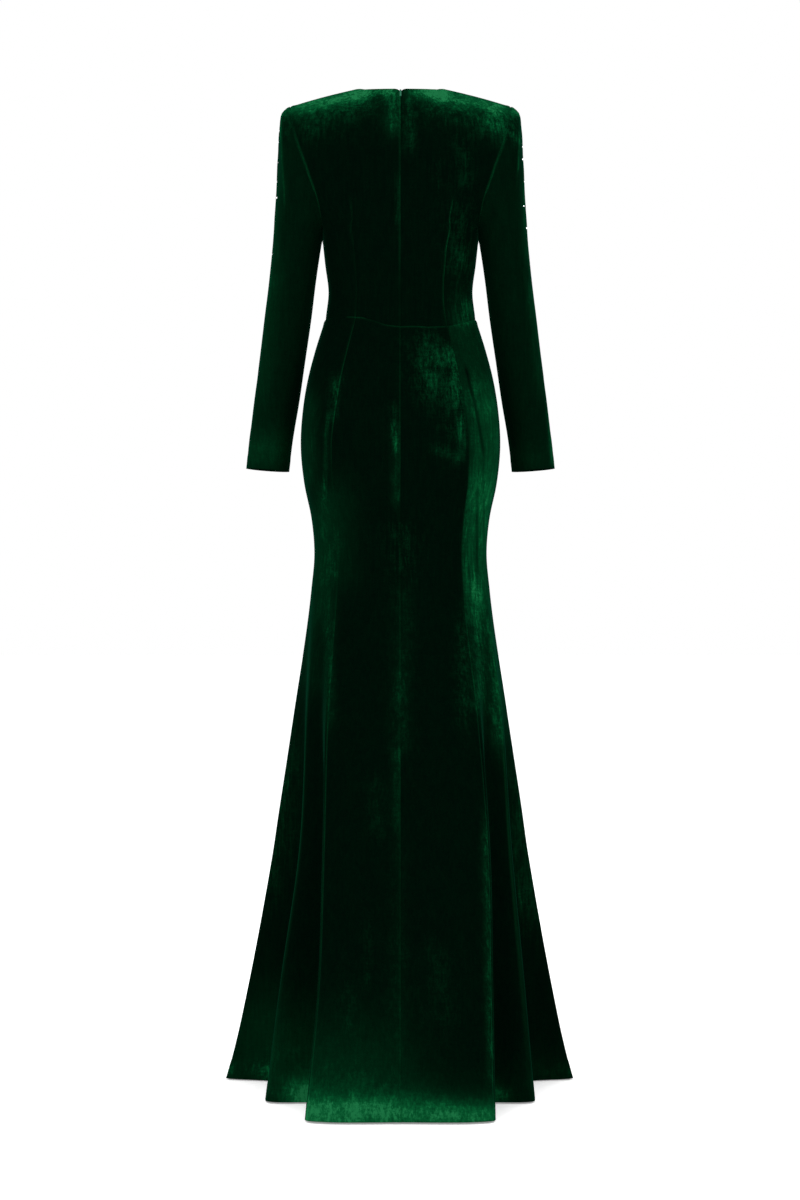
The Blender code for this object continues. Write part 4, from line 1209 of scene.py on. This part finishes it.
turns = np.radians(np.concatenate([places[underarm_row::-1], 360 - places[1 : underarm_row + 1]]))
SLEEVES = (
    ("sleeve_left", 1, LEFT_SLEEVE_CREASES, LEFT_SLEEVE_PILE_AND_SHEEN),
    ("sleeve_right", -1, RIGHT_SLEEVE_CREASES, RIGHT_SLEEVE_PILE_AND_SHEEN),
)
sleeve_surfaces = {}
for node, hand, creases, pile_and_sheen_table in SLEEVES:
    upper = slice(underarm_row, None, -1)
    plain_hole = np.concatenate([back_quarter[upper, -1], front_quarter[1 : underarm_row + 1, -1]])
    back_edge, front_edge = (-1, 0) if hand > 0 else (0, -1)
    sewn_hole = np.concatenate([back[upper, back_edge], front[1 : underarm_row + 1, front_edge]])
    sleeve = sleeve_shape(plain_hole, turns) * (hand, 1, 1)
    if hand < 0:
        sleeve, sewn_hole = sleeve[:, ::-1], sewn_hole[::-1]
    sleeve_normals = outward(sleeve, True)
    pile = worked(sleeve, sleeve_normals, pile_and_sheen_table)
    out = worked(sleeve, sleeve_normals, creases)[..., 0]
    down = down_columns(sleeve)
    across = along_rows(sleeve)
    out += seam_line(down)
    out += seam_line(np.minimum(across, across[:, -1:] - across)) * smooth_step(down, 0.002, 0.012)
    # A painted highlight along the armhole seam, and painted sheen over the half of the sleeve that faces behind.
    pile[..., 1] += shine(down, sleeve[..., 2], ARMHOLE_SHINE) * smooth_step(sleeve_normals[..., 1], 0.0, 0.3)
    pile[..., 1] += SLEEVE_BACK_SHEEN * smooth_step(sleeve_normals[..., 1], 0.0, 0.4)
    from_cuff = down[-1] - down
    out += CUFF_BULK * smooth_step(CUFF_TURN - from_cuff, -TURN_FADE, TURN_FADE)
    sleeve = sleeve + sleeve_normals * out[..., None]
    sleeve = eased(sleeve, sewn_hole, ARMHOLE_EASE)
    sleeve[:, -1] = sleeve[:, 0]
    sleeve_surfaces[node] = (sleeve, sleeve_normals)
    velvet_panel(node, sleeve, pile, SLEEVE_CUT, SLEEVE_CUT_AREA, closed=True)


# ---------------------------------------------------------------------------------------------------------
# The crystals. Flat-backed glass stones with a foiled back, sewn one by one through a thin metal setting onto
# the outside and the front of each upper sleeve, most thickly at the shoulder.

STONE_SIZES = (0.0042, 0.0050, 0.0036)
STONE_SIDES = 10
STONE_RISE = 0.36
TABLE_SHARE = 0.52
SETTING_RISE = 0.0004
SETTING_SHARE = 1.12
STONES_PER_SLEEVE = 64
STONE_SPACING = 0.0095
# Where the rest are tried: their turns round the arm, and heights that crowd towards the shoulder.
STONE_TRIES = 900
STONE_TURNS = (176, 300)
STONE_TOP = 1.622
STONE_REACH = 0.27
STONE_CROWDING = 1.5
# Stones that can be told apart on the outer line of the sleeves: their turn round the arm, and their height.
LEFT_STONES = ((158, 1.6025), (163, 1.589), (160, 1.555), (165, 1.5175), (158, 1.495), (166, 1.400))
RIGHT_STONES = ((158, 1.580), (156, 1.558), (166, 1.5226), (152, 1.4767), (164, 1.4427))


def add_colours(tree, shader, share, first, second):
    """Gives the surface a colour between two."""
    colour = tree.nodes.new("ShaderNodeMix")
    colour.data_type = "RGBA"
    colour.inputs["A"].default_value = first
    colour.inputs["B"].default_value = second
    wire(tree, share, colour.inputs["Factor"])
    wire(tree, colour.outputs["Result"], shader.inputs["Base Color"])


def crystal_material():
    """Clear cut glass over silver foil, each stone a little different."""
    settings = {"Metallic": 1.0, "Coat Weight": 1.0, "Coat Roughness": 0.02}
    material, tree, shader = new_material("foiled_crystal", settings)
    place = tree.nodes.new("ShaderNodeTexCoord").outputs["Object"]
    flaws = noise(tree, place, (1.0, 1.0, 1.0), 420.0, 2.0, 0.5)
    add_colours(tree, shader, flaws, (0.72, 0.80, 0.80, 1), (0.97, 0.98, 1.00, 1))
    wire(tree, calculate(tree, "MULTIPLY_ADD", flaws, 0.16, 0.04), shader.inputs["Roughness"])
    return material


def set_stone(mesh, centre, normal, size, turn):
    """A setting's flat ring and the cut stone in it, standing on the velvet."""
    frame_matrix = Matrix.Translation(centre) @ normal.to_track_quat("Z", "Y").to_matrix().to_4x4()
    frame_matrix = frame_matrix @ Matrix.Rotation(turn, 4, "Z")
    radius = size / 2
    for low, high, height, base in (
        (radius * SETTING_SHARE, radius * SETTING_SHARE, SETTING_RISE, 0.0),
        (radius, radius * TABLE_SHARE, size * STONE_RISE, SETTING_RISE),
    ):
        lifted = frame_matrix @ Matrix.Translation((0, 0, base + height / 2))
        bmesh.ops.create_cone(
            mesh, cap_ends=True, segments=STONE_SIDES, radius1=low, radius2=high, depth=height, matrix=lifted
        )


stone_material = crystal_material()
shuffle = np.random.default_rng(7)
for node, hand, known in (("sleeve_left", 1, LEFT_STONES), ("sleeve_right", -1, RIGHT_STONES)):
    sleeve, sleeve_normals = sleeve_surfaces[node]
    degrees = np.degrees(turns) if hand > 0 else np.degrees(turns)[::-1]
    wanted = list(known)
    while len(wanted) < STONE_TRIES:
        height = STONE_TOP - STONE_REACH * shuffle.random() ** STONE_CROWDING
        wanted.append((shuffle.uniform(*STONE_TURNS), height))
    mesh = bmesh.new()
    placed = []
    for turn, height in wanted:
        column = int(np.argmin(np.abs(degrees - turn)))
        row = int(np.argmin(np.abs(sleeve[:, column, 2] - height)))
        centre = Vector(sleeve[row, column] - (0, 0, HOLD_HEIGHT))
        if len(placed) == STONES_PER_SLEEVE or any((centre - other).length < STONE_SPACING for other in placed):
            continue
        size = STONE_SIZES[len(placed) % len(STONE_SIZES)]
        set_stone(mesh, centre, Vector(sleeve_normals[row, column]), size, turn)
        placed.append(centre)
    stones = finished_object(node + "_crystals", mesh, stone_material)
    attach(stones, "gown")


# ---------------------------------------------------------------------------------------------------------
# The zip. A concealed zip down the centre back: its slider sits behind the cloth in the neck's notch, and its
# small pull tab hangs outside. Both are die-cast metal, lacquered green to match the velvet.


def lacquer_material():
    """Green lacquer on cast metal, thinner and duller where fingers rub it."""
    settings = {"Specular IOR Level": 0.1, "Coat Weight": 0.05, "Coat Roughness": 0.3}
    material, tree, shader = new_material("green_lacquered_metal", settings)
    place = tree.nodes.new("ShaderNodeTexCoord").outputs["Object"]
    wear = noise(tree, place, (1.0, 1.0, 0.5), 700.0, 4.0, 0.6)
    add_colours(tree, shader, wear, (0.004, 0.070, 0.034, 1), (0.010, 0.120, 0.062, 1))
    wire(tree, calculate(tree, "MULTIPLY_ADD", wear, 0.25, 0.22), shader.inputs["Roughness"])
    add_bump(tree, shader, wear, 0.15, 0.0001)
    return material


lacquer = lacquer_material()
for node in ("zip_slider", "zip_pull_tab"):
    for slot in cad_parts[node].material_slots:
        slot.material = lacquer


# ---------------------------------------------------------------------------------------------------------
# The studio: a plain white floor and sweep of light, with large soft boxes in front and behind, and the camera
# straight behind the gown at the height of its knees.

CAMERA_X = 0.00085
CAMERA_DISTANCE = 4.0
CAMERA_HEIGHT = 0.812
LENS = 70.6
SENSOR_WIDTH = 36
FLOOR_SIZE = 60.0
FLOOR_GAP = 0.001
LAMP_TARGET = (0, 0, -0.7)

floor_mesh = bmesh.new()
bmesh.ops.create_grid(floor_mesh, x_segments=1, y_segments=1, size=FLOOR_SIZE / 2)
bmesh.ops.translate(floor_mesh, vec=(0, 0, cad_box[0].z - FLOOR_GAP), verts=floor_mesh.verts)
floor_settings = {
    "Base Color": (0.98, 0.98, 0.98, 1),
    "Roughness": 0.9,
    "Emission Color": (1, 1, 1, 1),
    "Emission Strength": 0.25,
}
floor_material, _, _ = new_material("white_floor", floor_settings)
floor = finished_object("studio_floor", floor_mesh, floor_material)

SOFT_BOXES = (
    # name, place, size, watts
    ("key_box_behind", (1.9, 3.2, 0.9), 2.4, 40),
    ("fill_box_behind", (-2.4, 2.6, 0.3), 2.4, 20),
    ("key_box_front", (-1.9, -3.2, 0.9), 2.4, 40),
    ("fill_box_front", (2.4, -2.6, 0.3), 2.4, 20),
    ("top_box", (0.0, 0.4, 2.6), 2.6, 30),
)
for name, place, size, watts in SOFT_BOXES:
    lamp = bpy.data.lights.new(name, "AREA")
    lamp.shape = "DISK"
    lamp.size = size
    lamp.energy = watts
    box = linked(name, lamp)
    box.location = place
    box.rotation_euler = (Vector(LAMP_TARGET) - Vector(place)).to_track_quat("-Z", "Y").to_euler()

world = bpy.data.worlds.new("white_studio")
world.use_nodes = True
sky = world.node_tree.nodes["Background"]
sky.inputs["Color"].default_value = (1, 1, 1, 1)
sky.inputs["Strength"].default_value = 1.0
bpy.context.scene.world = world
bpy.context.scene.view_settings.view_transform = "Standard"

camera_data = bpy.data.cameras.new("camera")
camera_data.lens = LENS
camera_data.sensor_width = SENSOR_WIDTH
camera = linked("camera", camera_data)
camera.location = (CAMERA_X, CAMERA_DISTANCE, CAMERA_HEIGHT - HOLD_HEIGHT)
camera.rotation_euler = (math.radians(90), 0, math.radians(180))
bpy.context.scene.camera = camera
